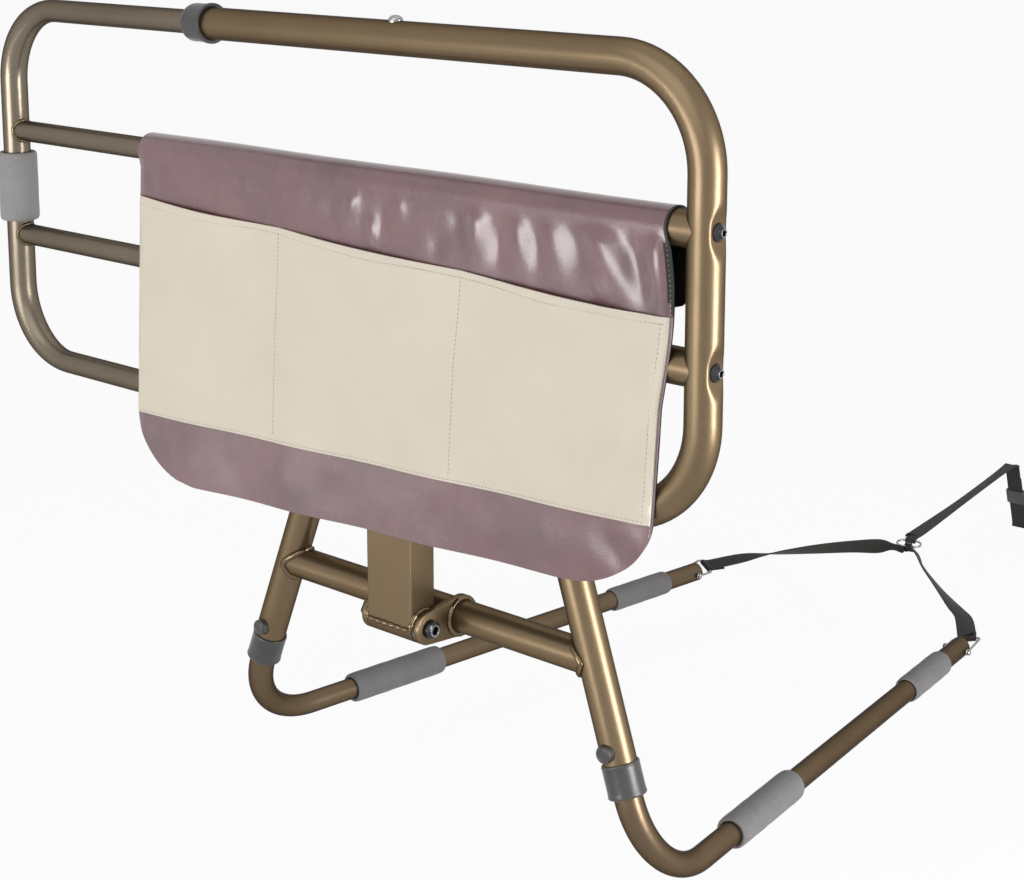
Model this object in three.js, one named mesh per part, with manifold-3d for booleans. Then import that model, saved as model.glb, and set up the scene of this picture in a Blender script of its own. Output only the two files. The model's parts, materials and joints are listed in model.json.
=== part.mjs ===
// Folding bedside guard rail. The rail hinges on the crossbar of a pair of bent legs, which lie
// under the mattress on foam sleeves and are tied to the far side of the bed by webbing. The rail
// is a big-tube loop with a smaller loop that slides in and out of it, and it carries a pouch.
// Millimetres, +Z up, +X along the rail, -Y away from the bed. The origin lies on the bed base
// below the middle of the crossbar.
import * as THREE from 'three';
import { mergeVertices } from 'three/addons/utils/BufferGeometryUtils.js';
import Module from 'manifold-3d';

const wasm = await Module();
wasm.setup();

// Fits
const seatGap = 0.3; // between pieces that touch
const slideGap = 0.35; // round a piece that slides or turns
const loopSlack = 1.55; // between the bore of the big tube and the tube of the sliding loop
const midSlack = 2.05; // the same for the two middle sliding tubes
const cutOverrun = 6; // how far a cutter runs past its cut

// Tube stock
const frameOuter = 28.6;
const frameWall = 2;
const slideWall = 1.6;
const legWall = 1.8;
const gripSwell = 4.5; // the sliding loop's upright is that much thicker than its arms
const legTaper = 3.2; // the lower leg is that much thinner behind its bend
const tubeSides = 18;
const smallSides = 12; // round small and hidden pieces
const wireSides = 8;
const bendSteps = 5;

// Legs
const crossbarHeight = 196;
const crossbarHalf = 179.8; // to the axis of each leg
const archHeight = 300;
const archBend = 45;
const legLean = 0.365; // sideways run of a leg for each unit of height
const legRake = 0.038; // the same to the front
const collarBottom = 92; // heights where the leg's axis passes them
const collarTop = 118;
const collarWall = 1.5;
const collarLap = 4; // the collar closes under the end of the big tube by that much
const legButtonHeight = 128;
const legButtonRadius = 7.25;
const legButtonProud = 5;
const legButtonBevel = 1.4;
const legButtonFlange = 1.3; // how far the flange inside stands out from the button
const legButtonFlangeThick = 1.2;
const lowerLegTop = 176; // height of the lower leg's end inside the big tube
const lowerLegBend = 75;
const lowerLegRun = 638; // from the corner of the bend to the far end
const toeIn = 0.116; // the lower legs run together by that much for each unit of length

// Foam sleeves on the lower legs
const nearSleeveStart = 130; // from the corner of the bend
const nearSleeveLength = 114;
const nearSleeveRadius = 14.5;
const farSleeveInset = 53; // from the end of the lower leg
const farSleeveLength = 88;
const farSleeveRadius = 13;
const foamEdge = 1.6;

// Pivot
const pivotReach = 40; // the pivot and the rail stand that far in front of the crossbar
const barrelLength = 50.8;
const washerRadius = 13.5;
const washerThick = 1.5;
const earThick = 5.7;
const earWrap = 3.6; // wall of the ear round the crossbar
const boltRadius = 5;
const boltHeadRadius = 8;
const boltHeadHeight = 6.5;
const boltHeadRound = 2;
const boltSocket = 3.6; // corner radius of the hexagon socket
const boltSocketDepth = 4;
const boltTail = 2; // past the nut
const nutCorner = 9.2;
const nutThick = 7;
const barrelBushLength = 17;

// Post
const postWidth = 50.8;
const postDepth = 30;
const postWall = 2;
const postCope = 6; // the post stops that far short of the axes of the barrel and the lowest tube

// Rail, measured from the pivot's axis
const bottomRise = 149.2;
const lowerMidRise = 270.4;
const upperMidRise = 373.5;
const topRise = 493.5;
const uprightX = 310.3;
const railBend = 80;
const openEndX = -245; // where the big tubes end and the sliding ones come out

// Screws that hold the middle tubes to the upright
const dentDepth = 4;
const dentReach = 24;
const screwRadius = 3;
const screwLength = 38;
const screwHeadRadius = 7;
const screwHeadThick = 3.2;
const screwNubRadius = 3.4;
const screwNubHeight = 2.6;
const screwSocket = 2; // corner radius of the hexagon socket
const plugLength = 24;

// Collar, bushes and button at the open ends
const topCollarLeft = 5; // past the tube's end
const topCollarLength = 27;
const topCollarWall = 2.65;
const topCollarLip = 1; // how far the lip at the right end stands out
const topCollarLipLength = 5;
const topCollarShoulder = 4;
const bushLength = 22;
const bushFlange = 3;
const buttonX = 1.2;
const buttonRadius = 6.2;
const buttonProud = 4.5;
const buttonDomeSteps = 5;

// Sliding loop
const gripX = -524.7;
const slideEndX = 35;
const slideBend = 72;
const closeTravel = 170; // to the shortest length
const gripFoamBottom = 284; // from the pivot's axis
const gripFoamTop = 352;
const gripFoamRadius = 19;
const glideFlange = 4;
const glideSpigot = 14;
const glideBore = 5.5;

// Rest clip that straddles the arch when the rail is up
const clipWidth = 30;
const clipJaw = 4;
const clipJawAngle = 8; // degrees that the jaws reach past the middle of the arch tube
const clipPlate = 4;
const clipPlateOver = 11; // how far the plate stands past the jaws, up and down
const clipScrewRadius = 2;
const clipScrewLength = 8;
const clipScrewHead = 4;
const clipScrewHeadThick = 2.4;

// Pouch
const clothThick = 1.4;
const pouchLeft = -314;
const pouchRight = 286;
const pouchShear = 14; // how far the foot of the pouch stands to the left of its head
const pouchBow = 9; // how far the right edge bows out a little below the tube
const pouchBowShare = 0.455; // of the drop, that the bow fades over
const pouchDropLeft = 304; // from the tube's axis to the foot of the front
const pouchDropRight = 284;
const pouchCornerWide = 84;
const pouchCornerHigh = 62;
const flapDrop = 65;
const flapCorner = 16;
const flapRowShares = [1, 0.92, 0.76, 0.38];
const pouchStraightRows = 8;
const pouchCornerRows = 5;
const foldDepth = 3;
const foldCount = 4;
const pouchColumns = 16;
const postSlack = 0.9; // between the post and the cloth in front of it
const pocketTopLeft = 40; // below the tube's axis
const pocketTopRight = 64;
const pocketFootLeft = 246;
const pocketFootRight = 224;
const pocketSlack = 4; // how far the mouth of a pocket stands open
const pocketSeamShares = [0, 0.315, 0.665, 1];
const pocketRows = 6;

// Ends of the lower legs
const rivetInset = 10; // from the end of the lower leg
const rivetRadius = 1.5;
const rivetHeadRadius = 3;
const rivetHeadHeight = 1.8;
const wireRadius = 1.25;
const eyeWall = 1.7;
const wireBend = 3;
const wireInnerOut = 3.5; // the ring widens by that much towards its inner corner
const wireInnerBack = 19.6;
const wireBarAcross = 26;
const wireBarBack = 14;
const wireBarUp = 5.6;

// Webbing
const webWidth = 20;
const webThick = 1.4;
const webGap = 0.5; // between two layers
const loopTail = 20; // short end sewn down after a loop
const ovalRound = 8; // radius of the oval ring's ends
const ovalStraight = 12; // length of its straight sides
const ovalWire = 1.3; // radius
const ovalEndStops = 7;
const ovalYawShare = 0.326; // its long side turns that far towards +Y for each unit along +X
const ovalPitchShare = 0.14; // and it rises that far for each unit of its pull
const bunchedWidth = 8; // of the bridle where it goes through the ring
const enteringWidth = 11; // of the bridle just before that
const mainLoopWidth = 12; // of the main strap where it goes round the ring
const mainTwistShare = 0.05; // its width turns that far towards +Y for each unit along +X
const endLoopRadius = 1.6;
const endTail = 78;
const buckleUp = 48; // from the end loop to the middle of the slide buckle
const buckleLong = 20;
const buckleRim = 2.6;
const buckleFace = 1.5;

// Routes of the webbing, from the middle between the two rivets
const ovalCentre = [-6, 209, 20];
const bridleRoutes = {
  left: [
    [-147, 67, 7], [-131, 84.5, 10], [-115, 102, 12], [-85, 133, 15], [-55, 163, 17],
    [-32, 185, 17], [-20, 195, 16.5],
  ],
  right: [
    [144, 68, 7], [126, 83, 9], [105, 101, 11], [82, 121, 13], [55, 145, 16], [30, 170, 19],
    [12, 190, 21],
  ],
};
const bridleTwists = { // degrees that the strap's far edge stands above level at each point
  left: [8, -5, -19, -44, -60, -72, -60],
  right: [-6, -14, -28, -40, -48, -60, -45],
};
const ovalPassShares = [ // of the bunched width, and twice of the strap's distance from the wire
  [-0.31, -1.5, -1.2], [-0.19, 0.6, -1.05], [-0.06, 1.25, -0.15], [0.06, 1.1, 0.7],
  [0.19, 0, 1.2], [0.31, -1.6, 0.5],
];
const mainRoute = [
  [-16, 245, 21], [-33, 380, 22], [-50, 500, 22.5], [-58, 558, 23], [-59.3, 567.6, 22.4],
  [-60, 572.5, 20.4], [-60.3, 574.7, 15.7],
];
const mainDropTop = [-60.4, 577, 12];
const mainDropFoot = [-62, 607, -72];

const frameRadius = frameOuter / 2;
const frameBore = frameRadius - frameWall;
const slideRadius = frameBore - loopSlack;
const slideMidRadius = frameBore - midSlack;
const gripRadius = slideRadius + gripSwell / 2;
const legRadius = frameBore - seatGap;
const legBackRadius = legRadius - legTaper / 2;
const alongX = new THREE.Vector3(1, 0, 0);
const alongY = new THREE.Vector3(0, 1, 0);
const alongZ = new THREE.Vector3(0, 0, 1);
const sides = [{ name: 'left', sign: -1 }, { name: 'right', sign: 1 }];
const at = (x, y, z) => new THREE.Vector3(x, y, z);

// Finishes
const bronze = { color: '#8c744f', roughness: 0.35, metalness: 0.75 };
const steel = { color: '#c9c9c9', roughness: 0.25, metalness: 1 };
const blackSteel = { color: '#26262a', roughness: 0.4, metalness: 0.8 };
const darkPlastic = { color: '#3b3a3c', roughness: 0.55, metalness: 0 };
const foam = { color: '#6d6a6b', roughness: 0.95, metalness: 0 };
const burgundy = { color: '#55343a', roughness: 0.38, metalness: 0 };
const beige = { color: '#d8ccb4', roughness: 0.6, metalness: 0 };
const webbing = { color: '#2c2c2a', roughness: 0.85, metalness: 0 };

// A centre line of straight runs and round bends, with one stop at each end of a run and even
// steps round each bend, so that a straight tube costs no more faces than it needs.
class BentLine extends THREE.Curve {
  constructor(corners, radius) {
    super();
    this.stops = [];
    corners.forEach((corner, index) => {
      const before = corners[index - 1];
      const after = corners[index + 1];
      const came = before && corner.clone().sub(before).normalize();
      const goes = after && after.clone().sub(corner).normalize();
      const turn = came && goes ? came.angleTo(goes) : 0;
      if (turn < Number.EPSILON ** 0.5) {
        this.stops.push({ point: corner, tangent: goes ?? came, bend: 0 });
        return;
      }
      const inward = goes.clone().addScaledVector(came, -goes.dot(came)).normalize();
      const first = corner.clone().addScaledVector(came, -radius * Math.tan(turn / 2));
      for (let step = 0; step <= bendSteps; step += 1) {
        const angle = (turn * step) / bendSteps;
        const point = first.clone().addScaledVector(came, radius * Math.sin(angle));
        point.addScaledVector(inward, radius * (1 - Math.cos(angle)));
        const tangent = came.clone().multiplyScalar(Math.cos(angle));
        tangent.addScaledVector(inward, Math.sin(angle));
        this.stops.push({ point, tangent, bend: step / bendSteps });
      }
    });
    this.steps = this.stops.length - 1;
  }

  getUtoTmapping(share) { return share; }

  getPoint(share) { return this.stops[Math.round(share * this.steps)].point.clone(); }

  getTangent(share) { return this.stops[Math.round(share * this.steps)].tangent.clone(); }
}

// A round tube along a centre line; with no wall it is a solid bar.
function tube(line, radius, wall = radius, count = tubeSides) {
  const section = new THREE.Shape().absarc(0, 0, radius, 0, Math.PI * 2);
  if (wall < radius) {
    section.holes.push(new THREE.Path().absarc(0, 0, radius - wall, 0, Math.PI * 2, true));
  }
  const options = { extrudePath: line, steps: line.steps, curveSegments: count / 2 };
  return new THREE.ExtrudeGeometry(section, options);
}

// Turns the faces of a closed surface outwards: its volume has to come out positive.
function outward(points, faces) {
  const corner = (face, index) => points[face[index]];
  const volume = faces.reduce((sum, face) => (
    sum + corner(face, 0).dot(corner(face, 1).clone().cross(corner(face, 2)))), 0);
  const index = faces.flatMap(([a, b, c]) => (volume < 0 ? [a, c, b] : [a, b, c]));
  const geometry = new THREE.BufferGeometry().setFromPoints(points);
  geometry.setIndex(index);
  geometry.computeVertexNormals();
  return geometry;
}

// A surface through rings of points. With closed it goes from the last ring to the first again,
// and otherwise a fan closes each end.
function loft(rings, closed = false, evenWall = false) {
  const count = rings[0].length;
  const faces = [];
  const spans = closed ? rings.length : rings.length - 1;
  for (let ring = 0; ring < spans; ring += 1) {
    for (let side = 0; side < count; side += 1) {
      const a = ring * count + side;
      const b = ring * count + ((side + 1) % count);
      const c = ((ring + 1) % rings.length) * count + ((side + 1) % count);
      const d = ((ring + 1) % rings.length) * count + side;
      // Opposite sides split along the same diagonal, so a twisted wall keeps its thickness
      if (evenWall && side >= count / 2) faces.push([a, b, d], [b, c, d]);
      else faces.push([a, b, c], [a, c, d]);
    }
  }
  if (!closed) {
    const last = (rings.length - 1) * count;
    for (let side = 1; side < count - 1; side += 1) {
      faces.push([0, side + 1, side], [last, last + side, last + side + 1]);
    }
  }
  return outward(rings.flat(), faces);
}

// A tube whose radius changes along its line: the outer rings run out and the inner ones back.
function taperedTube(line, radiusAt, wall) {
  const { normals, binormals } = line.computeFrenetFrames(line.steps, false);
  const ring = (stop, index, radius) => Array.from({ length: tubeSides }, (_, side) => {
    const angle = (Math.PI * 2 * side) / tubeSides;
    const point = stop.point.clone().addScaledVector(normals[index], radius * Math.cos(angle));
    return point.addScaledVector(binormals[index], radius * Math.sin(angle));
  });
  const outer = line.stops.map((stop, index) => ring(stop, index, radiusAt(stop)));
  const inner = line.stops.map((stop, index) => ring(stop, index, radiusAt(stop) - wall));
  return loft([...outer, ...inner.reverse()], true);
}

// A cloth or sheet of some thickness from its outer and inner grids of points.
function sheet(outer, inner) {
  const rows = outer.length;
  const columns = outer[0].length;
  const faces = [];
  const index = (side, row, column) => (side * rows + row) * columns + column;
  const quad = (a, b, c, d) => faces.push([a, b, c], [a, c, d]);
  for (let row = 0; row < rows - 1; row += 1) {
    for (let column = 0; column < columns - 1; column += 1) {
      quad(index(0, row, column), index(0, row, column + 1),
        index(0, row + 1, column + 1), index(0, row + 1, column));
      quad(index(1, row, column), index(1, row + 1, column),
        index(1, row + 1, column + 1), index(1, row, column + 1));
    }
    [[0, 0], [columns - 1, 1]].forEach(([column, flip]) => {
      const near = row + flip;
      const far = row + 1 - flip;
      quad(index(0, near, column), index(0, far, column),
        index(1, far, column), index(1, near, column));
    });
  }
  for (let column = 0; column < columns - 1; column += 1) {
    [[0, 1], [rows - 1, 0]].forEach(([row, flip]) => {
      const near = column + flip;
      const far = column + 1 - flip;
      quad(index(0, row, near), index(0, row, far), index(1, row, far), index(1, row, near));
    });
  }
  return outward([...outer.flat(), ...inner.flat()], faces);
}

// Webbing along points, each with the direction of its width.
function ribbon(stations) {
  const rings = stations.map(({ point, across, width = webWidth }, index) => {
    const before = (stations[index - 1] ?? stations[index]).point;
    const after = (stations[index + 1] ?? stations[index]).point;
    const run = after.clone().sub(before).normalize();
    const wide = across.clone().addScaledVector(run, -across.dot(run)).normalize();
    const thin = run.clone().cross(wide);
    return [[1, 1], [-1, 1], [-1, -1], [1, -1]].map(([w, t]) => point.clone()
      .addScaledVector(wide, (w * width) / 2).addScaledVector(thin, (t * webThick) / 2));
  });
  return loft(rings, false, true);
}

// A turned piece about its own Y axis, from a closed outline of [radius, height] pairs.
function turned(outline, count = tubeSides) {
  const points = outline.map(([radius, height]) => new THREE.Vector2(radius, height));
  if (THREE.ShapeUtils.area(points) < 0) points.reverse();
  if (!outline.some(([radius]) => radius === 0)) {
    return new THREE.LatheGeometry([...points, points[0]], count);
  }
  const start = points.findIndex((point, index) => (
    point.x === 0 && points[(index + points.length - 1) % points.length].x === 0));
  return new THREE.LatheGeometry([...points.slice(start), ...points.slice(0, start)], count);
}

// Booleans
function solid(geometry) {
  const bare = geometry.clone();
  bare.deleteAttribute('normal');
  bare.deleteAttribute('uv');
  const merged = mergeVertices(bare);
  const index = merged.index.array;
  const kept = [];
  for (let face = 0; face < index.length; face += 3) {
    const [a, b, c] = index.slice(face, face + 3);
    if (a !== b && b !== c && c !== a) kept.push(a, b, c);
  }
  return new wasm.Manifold(new wasm.Mesh({
    numProp: 3,
    vertProperties: new Float32Array(merged.attributes.position.array),
    triVerts: new Uint32Array(kept),
  }));
}

function geometryOf(body) {
  const { vertProperties, triVerts } = body.getMesh();
  const geometry = new THREE.BufferGeometry();
  geometry.setAttribute('position', new THREE.BufferAttribute(vertProperties, 3));
  geometry.setIndex(new THREE.BufferAttribute(triVerts, 1));
  geometry.computeVertexNormals();
  return geometry;
}

const cut = (geometry, ...cutters) => geometryOf(
  cutters.reduce((body, cutter) => body.subtract(solid(cutter)), solid(geometry)));
const joined = (...pieces) => geometryOf(
  pieces.slice(1).reduce((body, piece) => body.add(solid(piece)), solid(pieces[0])));

// A round bar from one point to another.
function bar(from, to, radius, count = tubeSides) {
  const run = to.clone().sub(from);
  const geometry = new THREE.CylinderGeometry(radius, radius, run.length(), count);
  geometry.applyQuaternion(new THREE.Quaternion().setFromUnitVectors(alongY, run.clone().normalize()));
  const middle = from.clone().add(to).divideScalar(2);
  return geometry.translate(middle.x, middle.y, middle.z);
}

// A six-sided bar along X.
function hexagon(fromX, toX, corner) {
  return bar(at(fromX, 0, 0), at(toX, 0, 0), corner, 6);
}

// The scene: groups for what moves together, and one mesh for each piece
const part = new THREE.Group();
const base = new THREE.Group();
const rail = new THREE.Group();
const slider = new THREE.Group();
const harness = new THREE.Group();
part.add(base, rail, harness);
rail.add(slider);
rail.position.set(0, -pivotReach, crossbarHeight);

function add(group, name, geometry, finish) {
  const mesh = new THREE.Mesh(geometry, new THREE.MeshStandardMaterial(finish));
  mesh.name = name;
  group.add(mesh);
  return mesh;
}

// Stands a turned piece at a point with its Y axis along a direction.
function stand(mesh, point, direction) {
  mesh.position.copy(point);
  mesh.quaternion.setFromUnitVectors(alongY, direction.clone().normalize());
  return mesh;
}

// Legs: both lie in one plane, which the crossbar's axis passes through
const legPoint = (sign, height) => at(
  sign * (crossbarHalf + legLean * (crossbarHeight - height)),
  -legRake * (crossbarHeight - height),
  height,
);
const legDown = (sign) => at(sign * legLean, -legRake, -1).normalize();
const legStretch = Math.hypot(1, legLean, legRake); // length of leg for each unit of height
const legFront = at(0, -1, legRake).normalize();

function legHoles(radius) {
  return sides.map(({ sign }) => {
    const middle = legPoint(sign, legButtonHeight);
    const out = middle.clone().addScaledVector(legFront, frameRadius + cutOverrun);
    return bar(middle, out, radius);
  });
}

const legEndHeight = collarBottom + collarLap;
const archLine = new BentLine([
  legPoint(-1, legEndHeight), legPoint(-1, archHeight), legPoint(1, archHeight),
  legPoint(1, legEndHeight),
], archBend);
const legHole = legButtonRadius + slideGap;
add(base, 'leg_arch', cut(tube(archLine, frameRadius, frameWall), ...legHoles(legHole)), bronze);

const copedLeg = (sign) => bar(
  legPoint(sign, 0), legPoint(sign, archHeight), frameRadius + seatGap);
const crossbarLine = new BentLine([
  at(-crossbarHalf, 0, crossbarHeight), at(crossbarHalf, 0, crossbarHeight),
]);
add(base, 'crossbar', cut(tube(crossbarLine, frameRadius, frameWall), copedLeg(-1), copedLeg(1)), bronze);

const collarHeight = (collarTop - collarBottom) * legStretch;
const collarRound = collarWall;
const collarRadius = frameRadius + collarWall;
const collarShape = [
  [legRadius + slideGap, 0], [collarRadius - collarRound, 0], [collarRadius, collarRound],
  [collarRadius, collarHeight - collarRound / 2], [collarRadius - collarRound / 2, collarHeight],
  [frameRadius + seatGap, collarHeight],
  [frameRadius + seatGap, collarLap * legStretch - seatGap],
  [legRadius + slideGap, collarLap * legStretch - seatGap],
];

// Lower legs: they come out of the big tubes, bend back and rest on their sleeves
const sleeves = [
  { name: 'near', start: nearSleeveStart, long: nearSleeveLength, radius: nearSleeveRadius },
  {
    name: 'far',
    start: lowerLegRun - farSleeveInset - farSleeveLength,
    long: farSleeveLength,
    radius: farSleeveRadius,
  },
];
const [nearMiddle, farMiddle] = sleeves.map(({ start, long }) => start + long / 2);
const legFall = (nearSleeveRadius - farSleeveRadius) / (farMiddle - nearMiddle);
const cornerHeight = nearSleeveRadius + legFall * nearMiddle;
const lowerLegRuns = sides.map(({ sign }) => {
  const corner = legPoint(sign, cornerHeight);
  const back = at(-sign * toeIn, 1, -legFall).normalize();
  return { corner, back, along: (distance) => corner.clone().addScaledVector(back, distance) };
});

const legInner = legRadius - legWall;
const buttonFoot = Math.sqrt(legInner ** 2 - (legButtonRadius + legButtonFlange) ** 2) - seatGap;
const legButtonShape = [
  [0, buttonFoot - legButtonFlangeThick],
  [legButtonRadius + legButtonFlange, buttonFoot - legButtonFlangeThick],
  [legButtonRadius + legButtonFlange, buttonFoot],
  [legButtonRadius, buttonFoot],
  [legButtonRadius, frameRadius + legButtonProud - legButtonBevel],
  [legButtonRadius - legButtonBevel, frameRadius + legButtonProud],
  [0, frameRadius + legButtonProud],
];

const sleeveShape = (length, radius, bore) => [
  [bore, 0], [radius - foamEdge, 0], [radius, foamEdge], [radius, length - foamEdge],
  [radius - foamEdge, length], [bore, length],
];

const eyeRadius = rivetRadius + slideGap + eyeWall;
const rivetSpan = legBackRadius / Math.cos(Math.atan(toeIn)) + toeIn * eyeRadius + seatGap; // to an eye
const wireLean = (wireInnerOut * rivetHeadRadius) / wireInnerBack;
const rivetReach = rivetSpan + 2 * wireRadius + wireLean + seatGap; // under the rivet's head
const rivetShape = [
  [0, -rivetReach - rivetHeadHeight], [rivetHeadRadius / 2, -rivetReach - rivetHeadHeight],
  [rivetHeadRadius, -rivetReach - rivetHeadHeight / 3], [rivetHeadRadius, -rivetReach],
  [rivetRadius, -rivetReach], [rivetRadius, rivetReach],
  [rivetHeadRadius, rivetReach], [rivetHeadRadius, rivetReach + rivetHeadHeight / 3],
  [rivetHeadRadius / 2, rivetReach + rivetHeadHeight], [0, rivetReach + rivetHeadHeight],
];
const rivetPoints = lowerLegRuns.map(({ along }) => along(lowerLegRun - rivetInset));

sides.forEach(({ name, sign }, index) => {
  const { corner, back, along } = lowerLegRuns[index];
  const line = new BentLine([legPoint(sign, lowerLegTop), corner, along(lowerLegRun)], lowerLegBend);
  const last = line.stops.at(-1);
  const taper = (stop) => (stop === last ? 1 : THREE.MathUtils.smoothstep(stop.bend, 0, 1));
  const shape = taperedTube(line, (stop) => legRadius - (legTaper / 2) * taper(stop), legWall);
  const rivet = rivetPoints[index];
  const reach = at(rivetSpan + cutOverrun, 0, 0);
  const rivetHole = bar(
    rivet.clone().sub(reach), rivet.clone().add(reach), rivetRadius + seatGap, wireSides);
  add(base, `lower_leg_${name}`, cut(shape, rivetHole, legHoles(legHole)[index]), bronze);
  stand(add(base, `leg_collar_${name}`, turned(collarShape), darkPlastic),
    legPoint(sign, collarBottom), legDown(sign).negate());
  stand(add(base, `leg_button_${name}`, turned(legButtonShape, smallSides), darkPlastic),
    legPoint(sign, legButtonHeight), legFront);
  sleeves.forEach((sleeve) => {
    const shapeOf = sleeveShape(sleeve.long, sleeve.radius, legBackRadius + seatGap);
    stand(add(base, `foam_sleeve_${sleeve.name}_${name}`, turned(shapeOf), foam),
      along(sleeve.start), back);
  });
  stand(add(base, `ring_rivet_${name}`, turned(rivetShape, wireSides), steel), rivet, alongX);
});

// Pivot: ears on the crossbar, and a bolt through them, the washers and the barrel's bushes
const earInner = barrelLength / 2 + seatGap + washerThick + seatGap;
const earOuter = earInner + earThick;

// A plate round two circles, one at the origin and one at the crossbar, with a hole in each.
function earShape() {
  const big = frameRadius + seatGap + earWrap;
  const slope = Math.asin((big - frameRadius) / pivotReach);
  const outline = new THREE.Shape();
  outline.absarc(0, 0, frameRadius, Math.PI / 2 + slope, Math.PI * 1.5 - slope);
  outline.absarc(pivotReach, 0, big, -Math.PI / 2 - slope, Math.PI / 2 + slope);
  outline.closePath();
  outline.holes.push(new THREE.Path().absarc(0, 0, boltRadius + seatGap, 0, Math.PI * 2, true));
  outline.holes.push(new THREE.Path()
    .absarc(pivotReach, 0, frameRadius + seatGap, 0, Math.PI * 2, true));
  const options = { depth: earThick, bevelEnabled: false, curveSegments: tubeSides / 2 };
  return new THREE.ExtrudeGeometry(outline, options);
}

// The outline's own X and Y become the object's Y and Z, and its depth runs along X.
const sideways = new THREE.Quaternion().setFromRotationMatrix(
  new THREE.Matrix4().makeBasis(alongY, alongZ, alongX));
sides.forEach(({ name, sign }) => {
  const ear = add(base, `ear_${name}`, earShape(), bronze);
  ear.quaternion.copy(sideways);
  ear.position.set(sign > 0 ? earInner : -earOuter, -pivotReach, crossbarHeight);
  const washer = turned([
    [boltRadius + slideGap, 0], [washerRadius, 0], [washerRadius, washerThick],
    [boltRadius + slideGap, washerThick],
  ]);
  stand(add(base, `thrust_washer_${name}`, washer, steel),
    at(sign * (barrelLength / 2 + seatGap), -pivotReach, crossbarHeight), at(sign, 0, 0));
});

const headStart = earOuter + seatGap;
const headEnd = headStart + boltHeadHeight;
const nutStart = -earOuter - seatGap;
const nutEnd = nutStart - nutThick;
const boltShape = [
  [0, nutEnd - boltTail], [boltRadius, nutEnd - boltTail],
  [boltRadius, headStart], [boltHeadRadius, headStart], [boltHeadRadius, headEnd - boltHeadRound],
  [boltHeadRadius - boltHeadRound, headEnd], [0, headEnd],
];
const acrossX = new THREE.Quaternion().setFromUnitVectors(alongY, alongX);
const boltBody = cut(turned(boltShape).applyQuaternion(acrossX),
  hexagon(headEnd - boltSocketDepth, headEnd + cutOverrun, boltSocket));
add(base, 'pivot_bolt', boltBody, blackSteel).position.copy(rail.position);
const nutBody = cut(hexagon(nutEnd, nutStart, nutCorner),
  bar(at(nutEnd - cutOverrun, 0, 0), at(nutStart + cutOverrun, 0, 0), boltRadius + seatGap));
add(base, 'pivot_nut', nutBody, blackSteel).position.copy(rail.position);

// From here on the pieces of the rail are placed from the pivot's axis
const barrelLine = new BentLine([at(-barrelLength / 2, 0, 0), at(barrelLength / 2, 0, 0)]);
add(rail, 'pivot_barrel', tube(barrelLine, frameRadius, frameWall), bronze);
const barrelBushShape = [
  [boltRadius + slideGap, 0], [frameBore - seatGap, 0], [frameBore - seatGap, barrelBushLength],
  [boltRadius + slideGap, barrelBushLength],
];
sides.forEach(({ name, sign }) => {
  stand(add(rail, `barrel_bush_${name}`, turned(barrelBushShape, smallSides), darkPlastic),
    at((sign * barrelLength) / 2, 0, 0), at(-sign, 0, 0));
});

// Places of the clip's screws, which the post's holes follow
const archY = pivotReach - legRake * (crossbarHeight - archHeight);
const archZ = archHeight - crossbarHeight;
const archReach = Math.hypot(archY, archZ);
const archAngle = Math.atan2(archY, archZ);
const jawInner = archReach - frameRadius - seatGap;
const jawOuter = archReach + frameRadius + seatGap;
const clipBack = postDepth / 2 + seatGap;
const clipFootZ = Math.sqrt((jawInner - clipJaw) ** 2 - clipBack ** 2);
const clipHeadZ = Math.sqrt((jawOuter + clipJaw) ** 2 - clipBack ** 2);
const clipScrewZ = [clipFootZ - clipPlateOver / 2, clipHeadZ + clipPlateOver / 2];

function screwHoles(radius) {
  return clipScrewZ.map((z) => bar(
    at(0, clipBack + clipPlate + cutOverrun, z), at(0, clipBack - clipScrewLength, z), radius));
}

// Post: a box section, hollowed round the barrel below and the lowest tube above
function postBody() {
  const box = (width, depth) => new THREE.Shape([
    new THREE.Vector2(-width / 2, -depth / 2), new THREE.Vector2(width / 2, -depth / 2),
    new THREE.Vector2(width / 2, depth / 2), new THREE.Vector2(-width / 2, depth / 2),
  ]);
  const section = box(postWidth, postDepth);
  section.holes.push(box(postWidth - 2 * postWall, postDepth - 2 * postWall));
  const length = bottomRise - 2 * postCope;
  const post = new THREE.ExtrudeGeometry(section, { depth: length, bevelEnabled: false });
  post.translate(0, 0, postCope);
  const half = postWidth / 2 + cutOverrun;
  const copes = [0, bottomRise].map((z) => bar(at(-half, 0, z), at(half, 0, z), frameRadius + seatGap));
  return cut(post, ...copes, ...screwHoles(clipScrewRadius + seatGap));
}
add(rail, 'post', postBody(), bronze);

// Outer loop: its upright is pressed in round both screws
const screwRises = [{ name: 'lower', rise: lowerMidRise }, { name: 'upper', rise: upperMidRise }];
const dentFlat = screwHeadRadius + 2 * seatGap; // flat under the head, along the tube
const dentStops = [-dentReach, -dentFlat, dentFlat, dentReach];
const loopStops = screwRises.flatMap(({ rise }) => (
  dentStops.map((offset) => at(uprightX, 0, rise + offset))));
loopStops.sort((a, b) => a.z - b.z);
const outerLine = new BentLine([
  at(openEndX, 0, bottomRise), at(uprightX, 0, bottomRise), ...loopStops,
  at(uprightX, 0, topRise), at(openEndX, 0, topRise),
], railBend);

function pressIn(geometry) {
  const places = geometry.attributes.position;
  for (let index = 0; index < places.count; index += 1) {
    const facing = (places.getX(index) - uprightX) / frameRadius;
    const near = Math.min(...screwRises.map(({ rise }) => Math.abs(places.getZ(index) - rise)));
    if (near < dentReach && facing > 0) {
      const fade = 1 - THREE.MathUtils.smoothstep(near, dentFlat, dentReach);
      places.setX(index, places.getX(index) - dentDepth * facing * fade);
    }
  }
  return geometry;
}

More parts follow.
